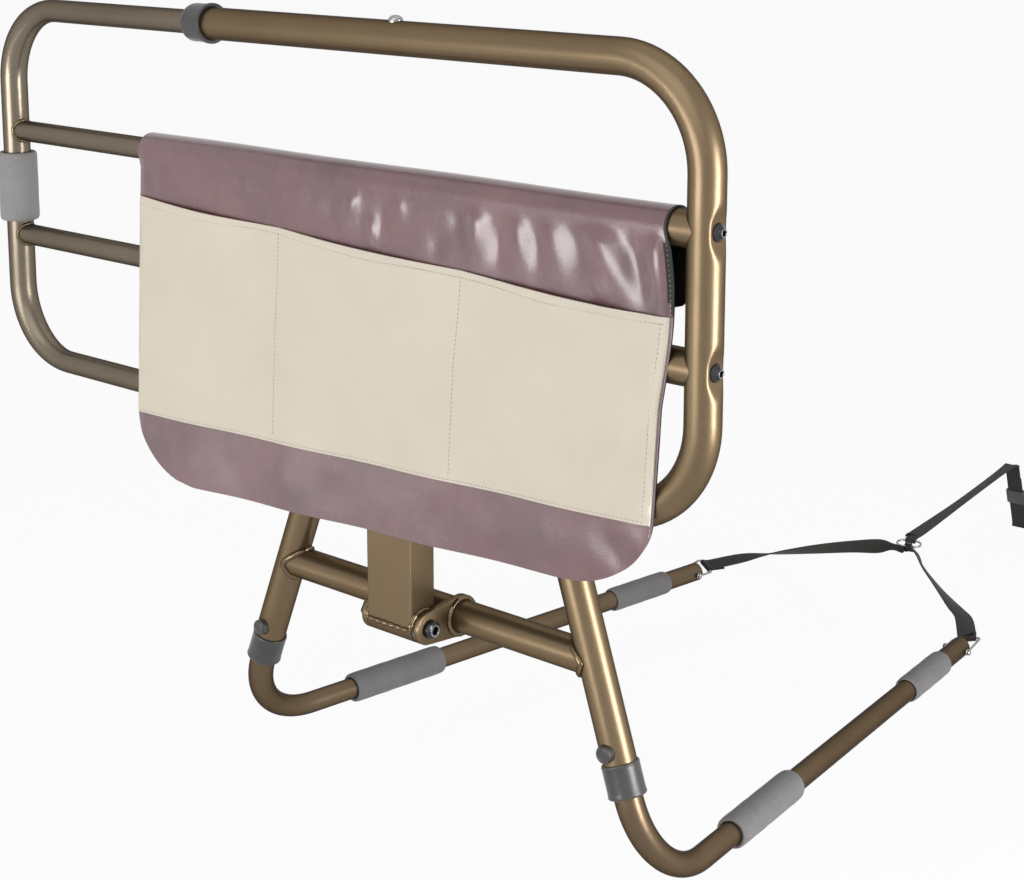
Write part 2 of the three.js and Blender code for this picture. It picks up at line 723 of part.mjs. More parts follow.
const throughHalf = frameRadius + cutOverrun;
const throughUpright = (rise, radius) => bar(
  at(uprightX - throughHalf, 0, rise), at(uprightX + throughHalf, 0, rise), radius);
const buttonHole = (x, radius) => bar(
  at(x, 0, topRise), at(x, 0, topRise + throughHalf), radius);
add(rail, 'outer_loop', cut(
  pressIn(tube(outerLine, frameRadius, frameWall)),
  ...screwRises.map(({ rise }) => throughUpright(rise, screwRadius + seatGap)),
  buttonHole(buttonX, buttonRadius + slideGap),
), bronze);

const uprightCope = tube(outerLine, frameRadius + seatGap);
const screwSeat = uprightX + frameRadius - dentDepth + seatGap;
const plugStart = uprightX - frameRadius - seatGap - plugLength;
const screwShape = [
  [0, screwSeat - screwLength], [screwRadius, screwSeat - screwLength], [screwRadius, screwSeat],
  [screwHeadRadius, screwSeat], [screwNubRadius, screwSeat + screwHeadThick],
  [screwNubRadius, screwSeat + screwHeadThick + screwNubHeight],
  [0, screwSeat + screwHeadThick + screwNubHeight],
];
screwRises.forEach(({ name, rise }) => {
  const line = new BentLine([at(openEndX, 0, rise), at(uprightX, 0, rise)]);
  add(rail, `mid_tube_${name}`, cut(tube(line, frameRadius, frameWall), uprightCope), bronze);
  const screwEnd = screwSeat + screwHeadThick + screwNubHeight;
  const screw = cut(turned(screwShape, smallSides).applyQuaternion(acrossX),
    hexagon(screwEnd - screwNubHeight, screwEnd + cutOverrun, screwSocket));
  add(rail, `screw_${name}`, screw, blackSteel).position.set(0, 0, rise);
  const plugLine = new BentLine([at(plugStart, 0, rise), at(uprightX, 0, rise)]);
  const plug = tube(plugLine, frameBore - seatGap, frameBore - screwRadius - 2 * seatGap, smallSides);
  add(rail, `screw_plug_${name}`, cut(plug, uprightCope), steel);
});

// Collar and bushes at the open ends: each guides the sliding tube that comes out there
const collarEndRadius = frameRadius + topCollarWall;
const topCollarShape = [
  [slideRadius + slideGap, -topCollarLeft], [collarEndRadius - topCollarShoulder, -topCollarLeft],
  [collarEndRadius - topCollarShoulder / 4, topCollarShoulder / 4 - topCollarLeft],
  [collarEndRadius, topCollarShoulder - topCollarLeft],
  [collarEndRadius, topCollarLength - topCollarLeft - topCollarLipLength],
  [collarEndRadius + topCollarLip, topCollarLength - topCollarLeft - topCollarLipLength],
  [collarEndRadius + topCollarLip, topCollarLength - topCollarLeft],
  [frameRadius + seatGap, topCollarLength - topCollarLeft], [frameRadius + seatGap, -seatGap],
  [frameBore - seatGap, -seatGap], [frameBore - seatGap, bushLength],
  [slideRadius + slideGap, bushLength],
];
stand(add(rail, 'top_collar', turned(topCollarShape), darkPlastic), at(openEndX, 0, topRise), alongX);
const bushShape = (bore) => [
  [bore, -bushFlange - seatGap], [frameRadius - foamEdge, -bushFlange - seatGap],
  [frameRadius, foamEdge - bushFlange - seatGap],
  [frameRadius, -seatGap], [frameBore - seatGap, -seatGap], [frameBore - seatGap, bushLength],
  [bore, bushLength],
];
[
  { name: 'bush_upper', rise: upperMidRise, bore: slideMidRadius + slideGap },
  { name: 'bush_lower', rise: lowerMidRise, bore: slideMidRadius + slideGap },
  { name: 'bush_bottom', rise: bottomRise, bore: slideRadius + slideGap },
].forEach(({ name, rise, bore }) => {
  stand(add(rail, name, turned(bushShape(bore)), darkPlastic), at(openEndX, 0, rise), alongX);
});

// Length button: a dome over a stem that reaches down to the sliding tube
function lengthButtonShape() {
  const stemTop = frameRadius + seatGap;
  const dome = Array.from({ length: buttonDomeSteps + 1 }, (_, step) => {
    const angle = (Math.PI / 2) * (step / buttonDomeSteps);
    return [buttonRadius * Math.cos(angle), stemTop + (buttonProud - seatGap) * Math.sin(angle)];
  });
  dome.at(-1)[0] = 0;
  return [[0, slideRadius + slideGap], [buttonRadius, slideRadius + slideGap], ...dome];
}
stand(add(rail, 'length_button', turned(lengthButtonShape(), smallSides), steel),
  at(buttonX, 0, topRise), alongZ);

// Sliding loop: the upright that is gripped is thicker than the arms inside the big tubes
const slideLine = new BentLine([
  at(slideEndX, 0, topRise), at(gripX, 0, topRise), at(gripX, 0, bottomRise),
  at(slideEndX, 0, bottomRise),
], slideBend);
const gripStops = slideLine.stops.filter(({ point }) => point.x <= gripX + slideBend + seatGap);
const swellOf = (stop) => {
  if (!gripStops.includes(stop)) return 0;
  const way = (gripX + slideBend - stop.point.x) / slideBend;
  return THREE.MathUtils.smoothstep(way, 0, 1);
};
add(slider, 'slide_loop', cut(
  taperedTube(slideLine, (stop) => slideRadius + (gripSwell / 2) * swellOf(stop), slideWall),
  buttonHole(buttonX, buttonRadius + 2 * slideGap),
  buttonHole(buttonX - closeTravel, buttonRadius + 2 * slideGap),
), bronze);
const gripCope = bar(at(gripX, 0, bottomRise), at(gripX, 0, topRise), gripRadius + seatGap);
screwRises.forEach(({ name, rise }) => {
  const line = new BentLine([at(gripX, 0, rise), at(slideEndX, 0, rise)]);
  add(slider, `slide_mid_${name}`, cut(tube(line, slideMidRadius, slideWall), gripCope), bronze);
});
const gripShape = sleeveShape(gripFoamTop - gripFoamBottom, gripFoamRadius, gripRadius + seatGap);
stand(add(slider, 'grip_foam', turned(gripShape), foam), at(gripX, 0, gripFoamBottom), alongZ);

const glideShape = (radius) => [
  [glideBore, -glideSpigot], [radius - slideWall - seatGap, -glideSpigot],
  [radius - slideWall - seatGap, seatGap], [frameBore - slideGap, seatGap],
  [frameBore - slideGap, seatGap + glideFlange], [glideBore, seatGap + glideFlange],
];
[
  { name: 'glide_top', rise: topRise, radius: slideRadius },
  { name: 'glide_upper', rise: upperMidRise, radius: slideMidRadius },
  { name: 'glide_lower', rise: lowerMidRise, radius: slideMidRadius },
  { name: 'glide_bottom', rise: bottomRise, radius: slideRadius },
].forEach(({ name, rise, radius }) => {
  stand(add(slider, name, turned(glideShape(radius)), darkPlastic), at(slideEndX, 0, rise), alongX);
});

// Rest clip: its jaws are arcs about the pivot, so the arch tube passes between them as the
// rail swings, and its plate is screwed to the back of the post
function clipBody() {
  const arc = (inner, outer, from, to) => {
    const outline = new THREE.Shape();
    outline.absarc(0, 0, outer, Math.PI / 2 - from, Math.PI / 2 - to, true);
    outline.absarc(0, 0, inner, Math.PI / 2 - to, Math.PI / 2 - from);
    outline.closePath();
    return outline;
  };
  const jawEnd = archAngle + THREE.MathUtils.degToRad(clipJawAngle);
  const options = { depth: clipWidth, bevelEnabled: false, curveSegments: smallSides / 2 };
  const across = (shape) => new THREE.ExtrudeGeometry(shape, options)
    .applyQuaternion(sideways).translate(-clipWidth / 2, 0, 0);
  const slotOptions = { ...options, depth: clipWidth + 2 * cutOverrun };
  const jaws = across(arc(jawInner - clipJaw, jawOuter + clipJaw, 0, jawEnd));
  const slot = new THREE.ExtrudeGeometry(arc(jawInner, jawOuter, archAngle, jawEnd * 2), slotOptions)
    .applyQuaternion(sideways).translate(-clipWidth / 2 - cutOverrun, 0, 0);
  const saddleHalf = clipWidth / 2 + cutOverrun;
  const saddle = bar(
    at(-saddleHalf, archY, archZ), at(saddleHalf, archY, archZ), frameRadius + seatGap);
  const front = new THREE.BoxGeometry(clipWidth + 2 * cutOverrun, archReach, 2 * archReach);
  front.translate(0, clipBack - archReach / 2, archReach);
  const plateHigh = clipHeadZ - clipFootZ + 2 * clipPlateOver;
  const plate = new THREE.BoxGeometry(clipWidth, clipPlate, plateHigh);
  plate.translate(0, clipBack + clipPlate / 2, (clipHeadZ + clipFootZ) / 2);
  const block = cut(jaws, slot, saddle, front);
  return cut(joined(block, plate), ...screwHoles(clipScrewRadius + seatGap));
}
add(rail, 'rest_clip', clipBody(), darkPlastic);
const clipScrewShape = [
  [0, -clipScrewLength], [clipScrewRadius, -clipScrewLength], [clipScrewRadius, 0],
  [clipScrewHead, 0], [clipScrewHead / 2, clipScrewHeadThick], [0, clipScrewHeadThick],
];
['bottom', 'top'].forEach((name, index) => {
  stand(add(rail, `clip_screw_${name}`, turned(clipScrewShape, smallSides), blackSteel),
    at(0, clipBack + clipPlate + seatGap, clipScrewZ[index]), alongY);
});

// Pouch cover: a short flap behind the upper middle tube, round the tube and down the front.
// share is 0 at the tube's axis and 1 at the foot; across is 0 at the left edge and 1 at the right.
const wrapInner = frameRadius + seatGap;
const postTopShare = (upperMidRise - bottomRise + postCope) / Math.max(pouchDropLeft, pouchDropRight);
const hangLean = (postDepth / 2 - frameRadius + postSlack) / postTopShare;
const wave = (across) => (1 - Math.cos(Math.PI * 2 * foldCount * across)) / 2;

function frontPlace(across, share) {
  const drop = THREE.MathUtils.lerp(pouchDropLeft, pouchDropRight, across);
  const toCorner = Math.max(0, (share - 1) * drop + pouchCornerHigh) / pouchCornerHigh;
  const inset = pouchCornerWide * (1 - Math.sqrt(1 - Math.min(1, toCorner) ** 2));
  const left = pouchLeft - pouchShear * share + inset;
  const bow = pouchBow * Math.sin(Math.PI * Math.min(1, share / pouchBowShare)) * (1 - share);
  const right = pouchRight - pouchShear * share * share + bow - inset;
  const x = THREE.MathUtils.lerp(left, right, across);
  return { x, y: -wrapInner - hangLean * share - foldDepth * share * wave(across), z: -drop * share };
}

function coverGrid(lift) {
  const grid = [];
  const row = (place) => grid.push(Array.from({ length: pouchColumns + 1 }, (_, column) => {
    const { x, y, z } = place(column / pouchColumns);
    return at(x, y, upperMidRise + z);
  }));
  flapRowShares.forEach((share) => row((across) => {
    const near = Math.max(0, share * flapDrop - flapDrop + flapCorner) / flapCorner;
    const inset = flapCorner * (1 - Math.sqrt(1 - near ** 2));
    const x = THREE.MathUtils.lerp(pouchLeft + inset, pouchRight - inset, across);
    return { x, y: wrapInner + lift, z: -flapDrop * share };
  }));
  for (let step = 0; step <= tubeSides / 2; step += 1) {
    const angle = (Math.PI * 2 * step) / tubeSides;
    const radius = wrapInner + lift;
    row((across) => ({
      x: THREE.MathUtils.lerp(pouchLeft, pouchRight, across),
      y: radius * Math.cos(angle),
      z: radius * Math.sin(angle),
    }));
  }
  const straightShare = 1 - pouchCornerHigh / Math.max(pouchDropLeft, pouchDropRight);
  const shares = Array.from({ length: pouchStraightRows }, (_, step) => (
    (straightShare * (step + 1)) / pouchStraightRows));
  for (let step = 1; step <= pouchCornerRows; step += 1) {
    const angle = (Math.PI / 2) * (step / pouchCornerRows);
    shares.push(straightShare + (1 - straightShare) * Math.sin(angle));
  }
  shares.forEach((share) => row((across) => {
    const place = frontPlace(across, share);
    return { ...place, y: place.y - lift };
  }));
  return grid;
}
add(rail, 'pouch_cover', sheet(coverGrid(clothThick), coverGrid(0)), burgundy);

// Pocket panel: it lies on the cover, sewn down at its foot, its ends and two seams, and each
// pocket's mouth stands open a little
function pocketGrid(lift) {
  return Array.from({ length: pocketRows + 1 }, (_, row) => (
    Array.from({ length: pouchColumns + 1 }, (__, column) => {
      const across = column / pouchColumns;
      const drop = THREE.MathUtils.lerp(pouchDropLeft, pouchDropRight, across);
      const top = THREE.MathUtils.lerp(pocketTopLeft, pocketTopRight, across);
      const foot = THREE.MathUtils.lerp(pocketFootLeft, pocketFootRight, across);
      const down = row / pocketRows;
      const place = frontPlace(across, THREE.MathUtils.lerp(top, foot, down) / drop);
      const seam = pocketSeamShares.findIndex((share, index) => index > 0 && across <= share);
      const width = pocketSeamShares[seam] - pocketSeamShares[seam - 1];
      const inPocket = (across - pocketSeamShares[seam - 1]) / width;
      const open = pocketSlack * Math.sin(Math.PI * inPocket) * (1 - down * down);
      return at(place.x, place.y - clothThick - seatGap - open - lift, upperMidRise + place.z);
    })));
}
add(rail, 'pouch_pocket', sheet(pocketGrid(clothThick), pocketGrid(0)), beige);

// Wire rings: each turns on its rivet, and the bar that holds the strap lies square to its pull
function wireRing(sign) {
  const eye = rivetSpan + wireRadius;
  const inner = at(-sign * (eye + wireInnerOut), wireInnerBack, 0);
  const outer = at(inner.x + sign * wireBarAcross, wireInnerBack + wireBarBack, wireBarUp);
  const inside = at(-sign * eye, 0, 0);
  const outside = at(sign * eye, 0, 0);
  const line = new BentLine([inside, inner, outer, outside], wireBend);
  const wire = tube(line, wireRadius, wireRadius, wireSides);
  const width = at(wireRadius, 0, 0);
  const eyes = [inside, outside].map((middle) => bar(
    middle.clone().sub(width), middle.clone().add(width), eyeRadius, smallSides));
  const bore = bar(
    at(-eye - cutOverrun, 0, 0), at(eye + cutOverrun, 0, 0), rivetRadius + slideGap, wireSides);
  return { body: cut(joined(wire, ...eyes), bore), inner, outer };
}

// Straps: the harness is placed from the middle between the two rivets
const rivetMiddle = rivetPoints[0].clone().add(rivetPoints[1]).divideScalar(2);
harness.position.copy(rivetMiddle);
const rings = sides.map(({ name, sign }, index) => {
  const ring = wireRing(sign);
  const place = rivetPoints[index].clone().sub(rivetMiddle);
  add(harness, `wire_ring_${name}`, ring.body, steel).position.copy(place);
  const axis = ring.outer.clone().sub(ring.inner).normalize();
  const middle = ring.inner.clone().add(ring.outer).divideScalar(2).add(place);
  const pull = at(-sign * axis.y, sign * axis.x, 0).normalize();
  const up = axis.clone().cross(pull).multiplyScalar(sign).normalize();
  return { middle, axis, pull, up };
});

// A loop of strap round a bar, from the short end below to the free strap above it.
function loopRound({ middle, axis, pull, up }, radius, tail, width) {
  const turn = radius + seatGap + webThick / 2;
  const close = (webThick + webGap) / 2;
  const place = (along, height) => middle.clone()
    .addScaledVector(pull, along).addScaledVector(up, height);
  const points = [place(tail, -close), place(tail / 2, -close), place(2 * turn, -close)];
  for (let step = 0; step <= bendSteps; step += 1) {
    const angle = -Math.PI / 2 - (Math.PI * step) / bendSteps;
    points.push(place(turn * Math.cos(angle), turn * Math.sin(angle)));
  }
  points.push(place(2 * turn, close), place(tail / 2, close));
  return points.map((point) => ({ point, across: axis, width }));
}

// Oval ring: a frame of its own, long along the first axis and pulled along the second
const oval = { centre: at(...ovalCentre), long: at(1, ovalYawShare, 0).normalize() };
oval.pull = at(-oval.long.y, oval.long.x, ovalPitchShare).normalize();
oval.up = oval.long.clone().cross(oval.pull);
const inOval = (along, pull, up) => oval.centre.clone().addScaledVector(oval.long, along)
  .addScaledVector(oval.pull, pull).addScaledVector(oval.up, up);

function ovalRing() {
  const around = Array.from({ length: 2 * ovalEndStops }, (_, stop) => {
    const end = Math.floor(stop / ovalEndStops);
    const turn = Math.PI * (end - 1 / 2 + (stop % ovalEndStops) / (ovalEndStops - 1));
    const shift = (end === 0 ? ovalStraight : -ovalStraight) / 2;
    return Array.from({ length: wireSides }, (__, side) => {
      const angle = (Math.PI * 2 * side) / wireSides;
      const out = ovalRound + ovalWire * Math.cos(angle);
      return inOval(shift + out * Math.cos(turn), out * Math.sin(turn), ovalWire * Math.sin(angle));
    });
  });
  return loft(around, true);
}
add(harness, 'oval_ring', ovalRing(), steel);

// The bridle runs from one wire ring through the oval ring to the other, and draws together
// where it enters the oval ring.
function twisted(route, twists, sign) {
  const first = at(...route[0]);
  const run = at(...route.at(-1)).sub(first);
  const level = at(sign * run.y, Math.abs(run.x), 0).normalize();
  return route.map((place, index) => {
    const angle = THREE.MathUtils.degToRad(twists[index]);
    const across = level.clone().multiplyScalar(Math.cos(angle));
    across.addScaledVector(alongZ, Math.sin(angle));
    const width = index === route.length - 1 ? enteringWidth : webWidth;
    return { point: at(...place), across, width };
  });
}
const clear = ovalWire + 2 * seatGap + webThick / 2; // from the wire's middle to the strap's
const throughOval = ovalPassShares.map(([along, pull, up]) => ({
  point: inOval(along * bunchedWidth, pull * clear - ovalRound, up * clear),
  across: oval.long.clone().negate(),
  width: bunchedWidth,
}));
add(harness, 'bridle_strap', ribbon([
  ...loopRound(rings[0], wireRadius, loopTail),
  ...twisted(bridleRoutes.left, bridleTwists.left, -1),
  ...throughOval,
  ...twisted(bridleRoutes.right, bridleTwists.right, 1).reverse(),
  ...loopRound(rings[1], wireRadius, loopTail).reverse(),
]), webbing);

// The main strap goes from the oval ring over the far edge of the bed base, where it hangs down
// to a loop, and the slide buckle grips both of its layers there
const dropTop = at(...mainDropTop);
const dropFoot = at(...mainDropFoot);
const dropAcross = at(1, mainTwistShare, 0).normalize();
const fall = dropFoot.clone().sub(dropTop).normalize();
const front = fall.clone().cross(dropAcross).normalize();
const endLoop = { middle: dropFoot, axis: dropAcross, pull: fall.clone().negate(), up: front };
const farWire = inOval(0, ovalRound, 0);
const ringLoop = { middle: farWire, axis: oval.long, pull: oval.pull, up: oval.up };
add(harness, 'main_strap', ribbon([
  ...loopRound(ringLoop, ovalWire, loopTail, mainLoopWidth),
  ...mainRoute.map((place) => ({ point: at(...place), across: dropAcross })),
  ...loopRound(endLoop, endLoopRadius, endTail).reverse(),
]), webbing);

function slideBuckle() {
  const wide = webWidth + 2 * slideGap;
  const thick = 2 * webThick + webGap + 2 * slideGap;
  const frame = new THREE.BoxGeometry(wide + 2 * buckleRim, buckleLong, thick + 2 * buckleFace);
  const slot = new THREE.BoxGeometry(wide, buckleLong + cutOverrun, thick);
  return cut(frame, slot);
}
const buckle = add(harness, 'slide_buckle', slideBuckle(), darkPlastic);
buckle.position.copy(dropFoot).addScaledVector(fall, -buckleUp);
const buckleAcross = fall.clone().cross(front);
const buckleTurn = new THREE.Matrix4().makeBasis(buckleAcross, fall, buckleAcross.clone().cross(fall));
buckle.quaternion.setFromRotationMatrix(buckleTurn);

export default part;
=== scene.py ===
import json
from math import asin, atan, cos, hypot, pi, radians, tan
import bmesh
import bpy
import numpy as np
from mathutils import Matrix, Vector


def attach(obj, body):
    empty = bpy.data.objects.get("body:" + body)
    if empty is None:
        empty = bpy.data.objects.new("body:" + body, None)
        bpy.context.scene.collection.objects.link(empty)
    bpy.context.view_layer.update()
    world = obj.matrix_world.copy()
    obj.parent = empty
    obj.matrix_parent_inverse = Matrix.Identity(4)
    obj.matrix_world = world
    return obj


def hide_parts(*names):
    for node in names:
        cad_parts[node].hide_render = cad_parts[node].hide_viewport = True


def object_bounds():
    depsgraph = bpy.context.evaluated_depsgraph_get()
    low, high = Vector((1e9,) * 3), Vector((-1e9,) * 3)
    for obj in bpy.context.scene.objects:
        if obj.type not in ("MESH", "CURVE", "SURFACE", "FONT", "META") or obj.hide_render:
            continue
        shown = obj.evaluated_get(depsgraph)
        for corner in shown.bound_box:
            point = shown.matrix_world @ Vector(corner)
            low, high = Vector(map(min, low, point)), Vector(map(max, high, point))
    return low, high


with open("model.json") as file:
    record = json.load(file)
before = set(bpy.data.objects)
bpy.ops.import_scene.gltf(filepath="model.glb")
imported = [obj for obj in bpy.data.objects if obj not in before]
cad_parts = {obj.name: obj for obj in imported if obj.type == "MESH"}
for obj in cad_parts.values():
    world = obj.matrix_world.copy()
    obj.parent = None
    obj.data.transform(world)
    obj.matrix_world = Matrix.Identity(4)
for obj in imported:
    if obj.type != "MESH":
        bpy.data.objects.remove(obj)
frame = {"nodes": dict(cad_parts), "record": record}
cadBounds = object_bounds()
nodes = frame["nodes"]

# Folding bedside guard rail. Lengths are in millimetres, in the frame's own axes, and each mesh
# is turned into metres as it is made.
mm = 0.001
gap = 0.3  # between pieces that touch
play = 0.35  # round what turns or slides in a bore
holeLong = 24.0  # a button's hole, from the tube's axis out past its wall
cornerSteps = 4  # points on each rounded corner of a profile
rightward, upward = np.array([1.0, 0.0, 0.0]), np.array([0.0, 0.0, 1.0])

# Stock and places that several pieces share
stock = {
    "frameRadius": 14.3, "frameWall": 2.0, "slideRadius": 10.75, "midRadius": 10.25,
    "gripRadius": 13.0, "slideWall": 1.6, "legRadius": 12.0, "legBackRadius": 10.4, "legWall": 1.8,
}
rail = {
    "y": -40.0, "bottomZ": 345.2, "lowerZ": 466.4, "upperZ": 569.5, "topZ": 689.5,
    "uprightX": 310.3, "bend": 80.0, "openX": -245.0, "gripX": -524.7, "gripBend": 72.0,
    "slideEndX": 35.0,
}
legs = {
    "crossbarZ": 196.0, "crossbarHalf": 179.8, "lean": 0.365, "rake": 0.038, "archZ": 300.0,
    "archBend": 45.0, "collarBottom": 92.0, "collarTop": 118.0, "buttonZ": 128.0,
    "lowerTop": 176.0, "lowerBend": 75.0, "lowerRun": 638.0, "toeIn": 0.116,
    "cornerZ": 15.292, "fall": 0.004237,
}


# Arrays: directions, bends, rounded corners and smooth curves
def unit(vectors):
    # Each row divided by its own length
    return vectors / np.linalg.norm(vectors, axis=-1, keepdims=True)


def smooth(share):
    # 3 s squared minus 2 s cubed, held at 0 and 1 outside the range
    share = np.clip(share, 0, 1)
    return share * share * (3 - 2 * share)


def bentLine(corners, radius=1.0, spacing=14.0, bendStep=4.0):
    # Straight runs joined by arcs of one radius. An arc starts where the circle touches the first
    # run: start + r sin(a) along it + r (1 - cos(a)) towards the inside of the bend.
    corners = np.array(corners, float)
    runs = unit(np.diff(corners, axis=0))
    points, tangents, start = [], [], corners[0]
    for index, came in enumerate(runs):
        corner = corners[index + 1]
        goes = runs[index + 1] if index + 1 < len(runs) else came
        turn = np.arccos(np.clip(came @ goes, -1, 1))
        end = corner - came * radius * tan(turn / 2)
        count = max(2, int(np.linalg.norm(end - start) / spacing) + 1)
        points.append(start + (end - start) * np.linspace(0, 1, count)[:, None])
        tangents.append(np.tile(came, (count, 1)))
        if turn > 1e-6:
            inward = unit(goes - came * (goes @ came))
            angles = np.linspace(0, turn, max(3, int(np.degrees(turn) / bendStep)) + 1)[1:-1, None]
            points.append(end + radius * (came * np.sin(angles) + inward * (1 - np.cos(angles))))
            tangents.append(came * np.cos(angles) + inward * np.sin(angles))
            start = end + radius * (came * np.sin(turn) + inward * (1 - np.cos(turn)))
    return np.concatenate(points), np.concatenate(tangents)


def softened(outline, radius, closed=True):
    # Each corner gives way to a curve (1-t)^2 A + 2t(1-t) corner + t^2 B between points A and B
    # that lie the radius away along its two edges.
    outline = np.array(outline, float)
    toBefore, toAfter = np.roll(outline, 1, 0) - outline, np.roll(outline, -1, 0) - outline
    ends = [
        outline + unit(edge) * np.minimum(radius, 0.45 * np.linalg.norm(edge, axis=1))[:, None]
        for edge in (toBefore, toAfter)
    ]
    t = np.linspace(0, 1, cornerSteps)[None, :, None]
    curve = (
        (1 - t) ** 2 * ends[0][:, None] + 2 * t * (1 - t) * outline[:, None]
        + t * t * ends[1][:, None]
    )
    if closed:
        return curve.reshape(-1, 2)
    return np.concatenate([outline[:1], curve[1:-1].reshape(-1, 2), outline[-1:]])


def through(stations, steps):
    # A cubic through each station: between two stations it blends them with slopes that are half
    # the way from the station before to the station after.
    stations = np.array(stations, float)
    before, after = 2 * stations[:1] - stations[1:2], 2 * stations[-1:] - stations[-2:-1]
    padded = np.concatenate([before, stations, after])
    a, b, c, d = (padded[k:len(padded) - 3 + k] for k in range(4))
    t = (np.arange(steps) / steps)[None, :, None]
    curve = 0.5 * (
        2 * b[:, None] + (c - a)[:, None] * t + (2 * a - 5 * b + 4 * c - d)[:, None] * t ** 2
        + (3 * b - a - 3 * c + d)[:, None] * t ** 3
    )
    return np.concatenate([curve.reshape(-1, stations.shape[1]), stations[-1:]])


# Meshes
def gridFaces(rows, columns, closeRows=False, closeColumns=True):
    # One face for each cell of a grid of points; a closed direction joins its last line to its
    # first
    r = np.arange(rows if closeRows else rows - 1)[:, None]
    c = np.arange(columns if closeColumns else columns - 1)[None, :]
    down, right = (r + 1) % rows, (c + 1) % columns
    corners = [r * columns + c, r * columns + right, down * columns + right, down * columns + c]
    return np.stack(np.broadcast_arrays(*corners), -1).reshape(-1, 4)


def newPiece(name, points, faces, finish, body, stands=(), caps=(), uv=None, crease=40,
             second=None):
    # A closed mesh from points and faces, turned outwards if its volume comes out negative. second
    # is another finish and the faces that take it.
    points = np.asarray(points, float).reshape(-1, 3) * mm
    centred = points - points.mean(0)
    a, b, c, d = (centred[faces[:, k]] for k in range(4))
    if np.sum(a * (np.cross(b, c) + np.cross(c, d))) < 0:
        faces = faces[:, ::-1]
        caps = [cap[::-1] for cap in caps]
    mesh = bpy.data.meshes.new(name)
    mesh.from_pydata(points.tolist(), [], faces.tolist() + [list(map(int, cap)) for cap in caps])
    if uv is not None:
        layer = mesh.uv_layers.new(name="surface")
        corners = np.zeros(len(mesh.loops), np.int32)
        mesh.loops.foreach_get("vertex_index", corners)
        layer.data.foreach_set("uv", (uv[corners] * mm).astype(np.float32).ravel())
    mesh.materials.append(finish)
    if second is not None:
        mesh.materials.append(second[0])
        chosen = np.zeros(len(mesh.polygons), np.int32)
        chosen[second[1]] = 1
        mesh.polygons.foreach_set("material_index", chosen)
    shape = bmesh.new()
    shape.from_mesh(mesh)
    bmesh.ops.remove_doubles(shape, verts=shape.verts, dist=1e-6)
    shape.to_mesh(mesh)
    shape.free()
    mesh.polygons.foreach_set("use_smooth", np.ones(len(mesh.polygons), bool))
    mesh.set_sharp_from_angle(angle=radians(crease))
    piece = bpy.data.objects.new(name, mesh)
    bpy.context.scene.collection.objects.link(piece)
    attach(piece, body)
    if stands:
        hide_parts(*stands)
    return piece


def tubePiece(name, grid, finish, body, stands=()):
    # A grid of closed rings whose last ring joins the first
    faces = gridFaces(*grid.shape[:2], closeRows=True)
    return newPiece(name, grid, faces, finish, body, stands)


def endCaps(grid):
    # The first and the last ring of an open grid, as one face each
    count = grid.shape[1]
    return [np.arange(count)[::-1], np.arange(count) + (len(grid) - 1) * count]


def rings(points, tangents, across, radii, sides):
    # At each stop a circle: point + r cos(a) sideways + r sin(a) across
    angles = np.linspace(0, 2 * pi, sides, endpoint=False)[None, :, None]
    across = np.broadcast_to(across, points.shape)
    sideways = np.cross(across, tangents)[:, None]
    radii = np.broadcast_to(radii, len(points))[:, None, None]
    return points[:, None] + radii * (np.cos(angles) * sideways + np.sin(angles) * across[:, None])


def tubePoints(line, across, radii, wall, sides=44):
    # The outer circles run to the end of the line and the inner ones come back
    points, tangents = line
    outer = rings(points, tangents, across, radii, sides)
    inner = rings(points, tangents, across, np.broadcast_to(radii, len(points)) - wall, sides)
    return np.concatenate([outer, inner[::-1]])


def cope(ring, direction, axisPoint, axisDirection, radius):
    # Each point slides along the direction to the surface of a round bar: the root, on the side
    # that it comes from, of |distance from the bar's axis| = radius
    axis = unit(np.array(axisDirection, float))
    flat = lambda v: v - (v @ axis)[..., None] * axis
    p, d = flat(ring - axisPoint), flat(np.broadcast_to(direction, ring.shape))
    a, b, c = (d * d).sum(-1), 2 * (p * d).sum(-1), (p * p).sum(-1) - radius ** 2
    root = (-b - np.sqrt(np.maximum(b * b - 4 * a * c, 0))) / (2 * a)
    return ring + root[..., None] * direction


welds = {
    "crossbar": {"radius": 2.9, "ripple": 0.06}, "ear": {"radius": 2.9, "ripple": 0.08},
    "post": {"radius": 2.3, "ripple": 0.16}, "slide": {"radius": 1.9, "ripple": 0.08},
}
weldWaves = {"puddles": 26, "slow": 5, "slowShare": 0.5, "sides": 10}


def buildWeld(name, curve, kind, body):
    # A closed round bead along the curve. Its radius is 1 + ripple cos(puddles a) + a slower and
    # lower sine of a, times the plain radius.
    weld, centre = welds[kind], curve.mean(0)
    ahead = unit(np.roll(curve, -1, 0) - np.roll(curve, 1, 0))
    out = unit(curve - centre - ((curve - centre) * ahead).sum(1, keepdims=True) * ahead)
    turn = np.linspace(0, 2 * pi, len(curve), endpoint=False)
    puddles = weld["ripple"] * np.cos(turn * weldWaves["puddles"])
    slow = weldWaves["slowShare"] * weld["ripple"] * np.sin(turn * weldWaves["slow"])
    bead = rings(curve, ahead, out, weld["radius"] * (1 + puddles + slow), weldWaves["sides"])
    tubePiece(name, bead, weldPaint, body)


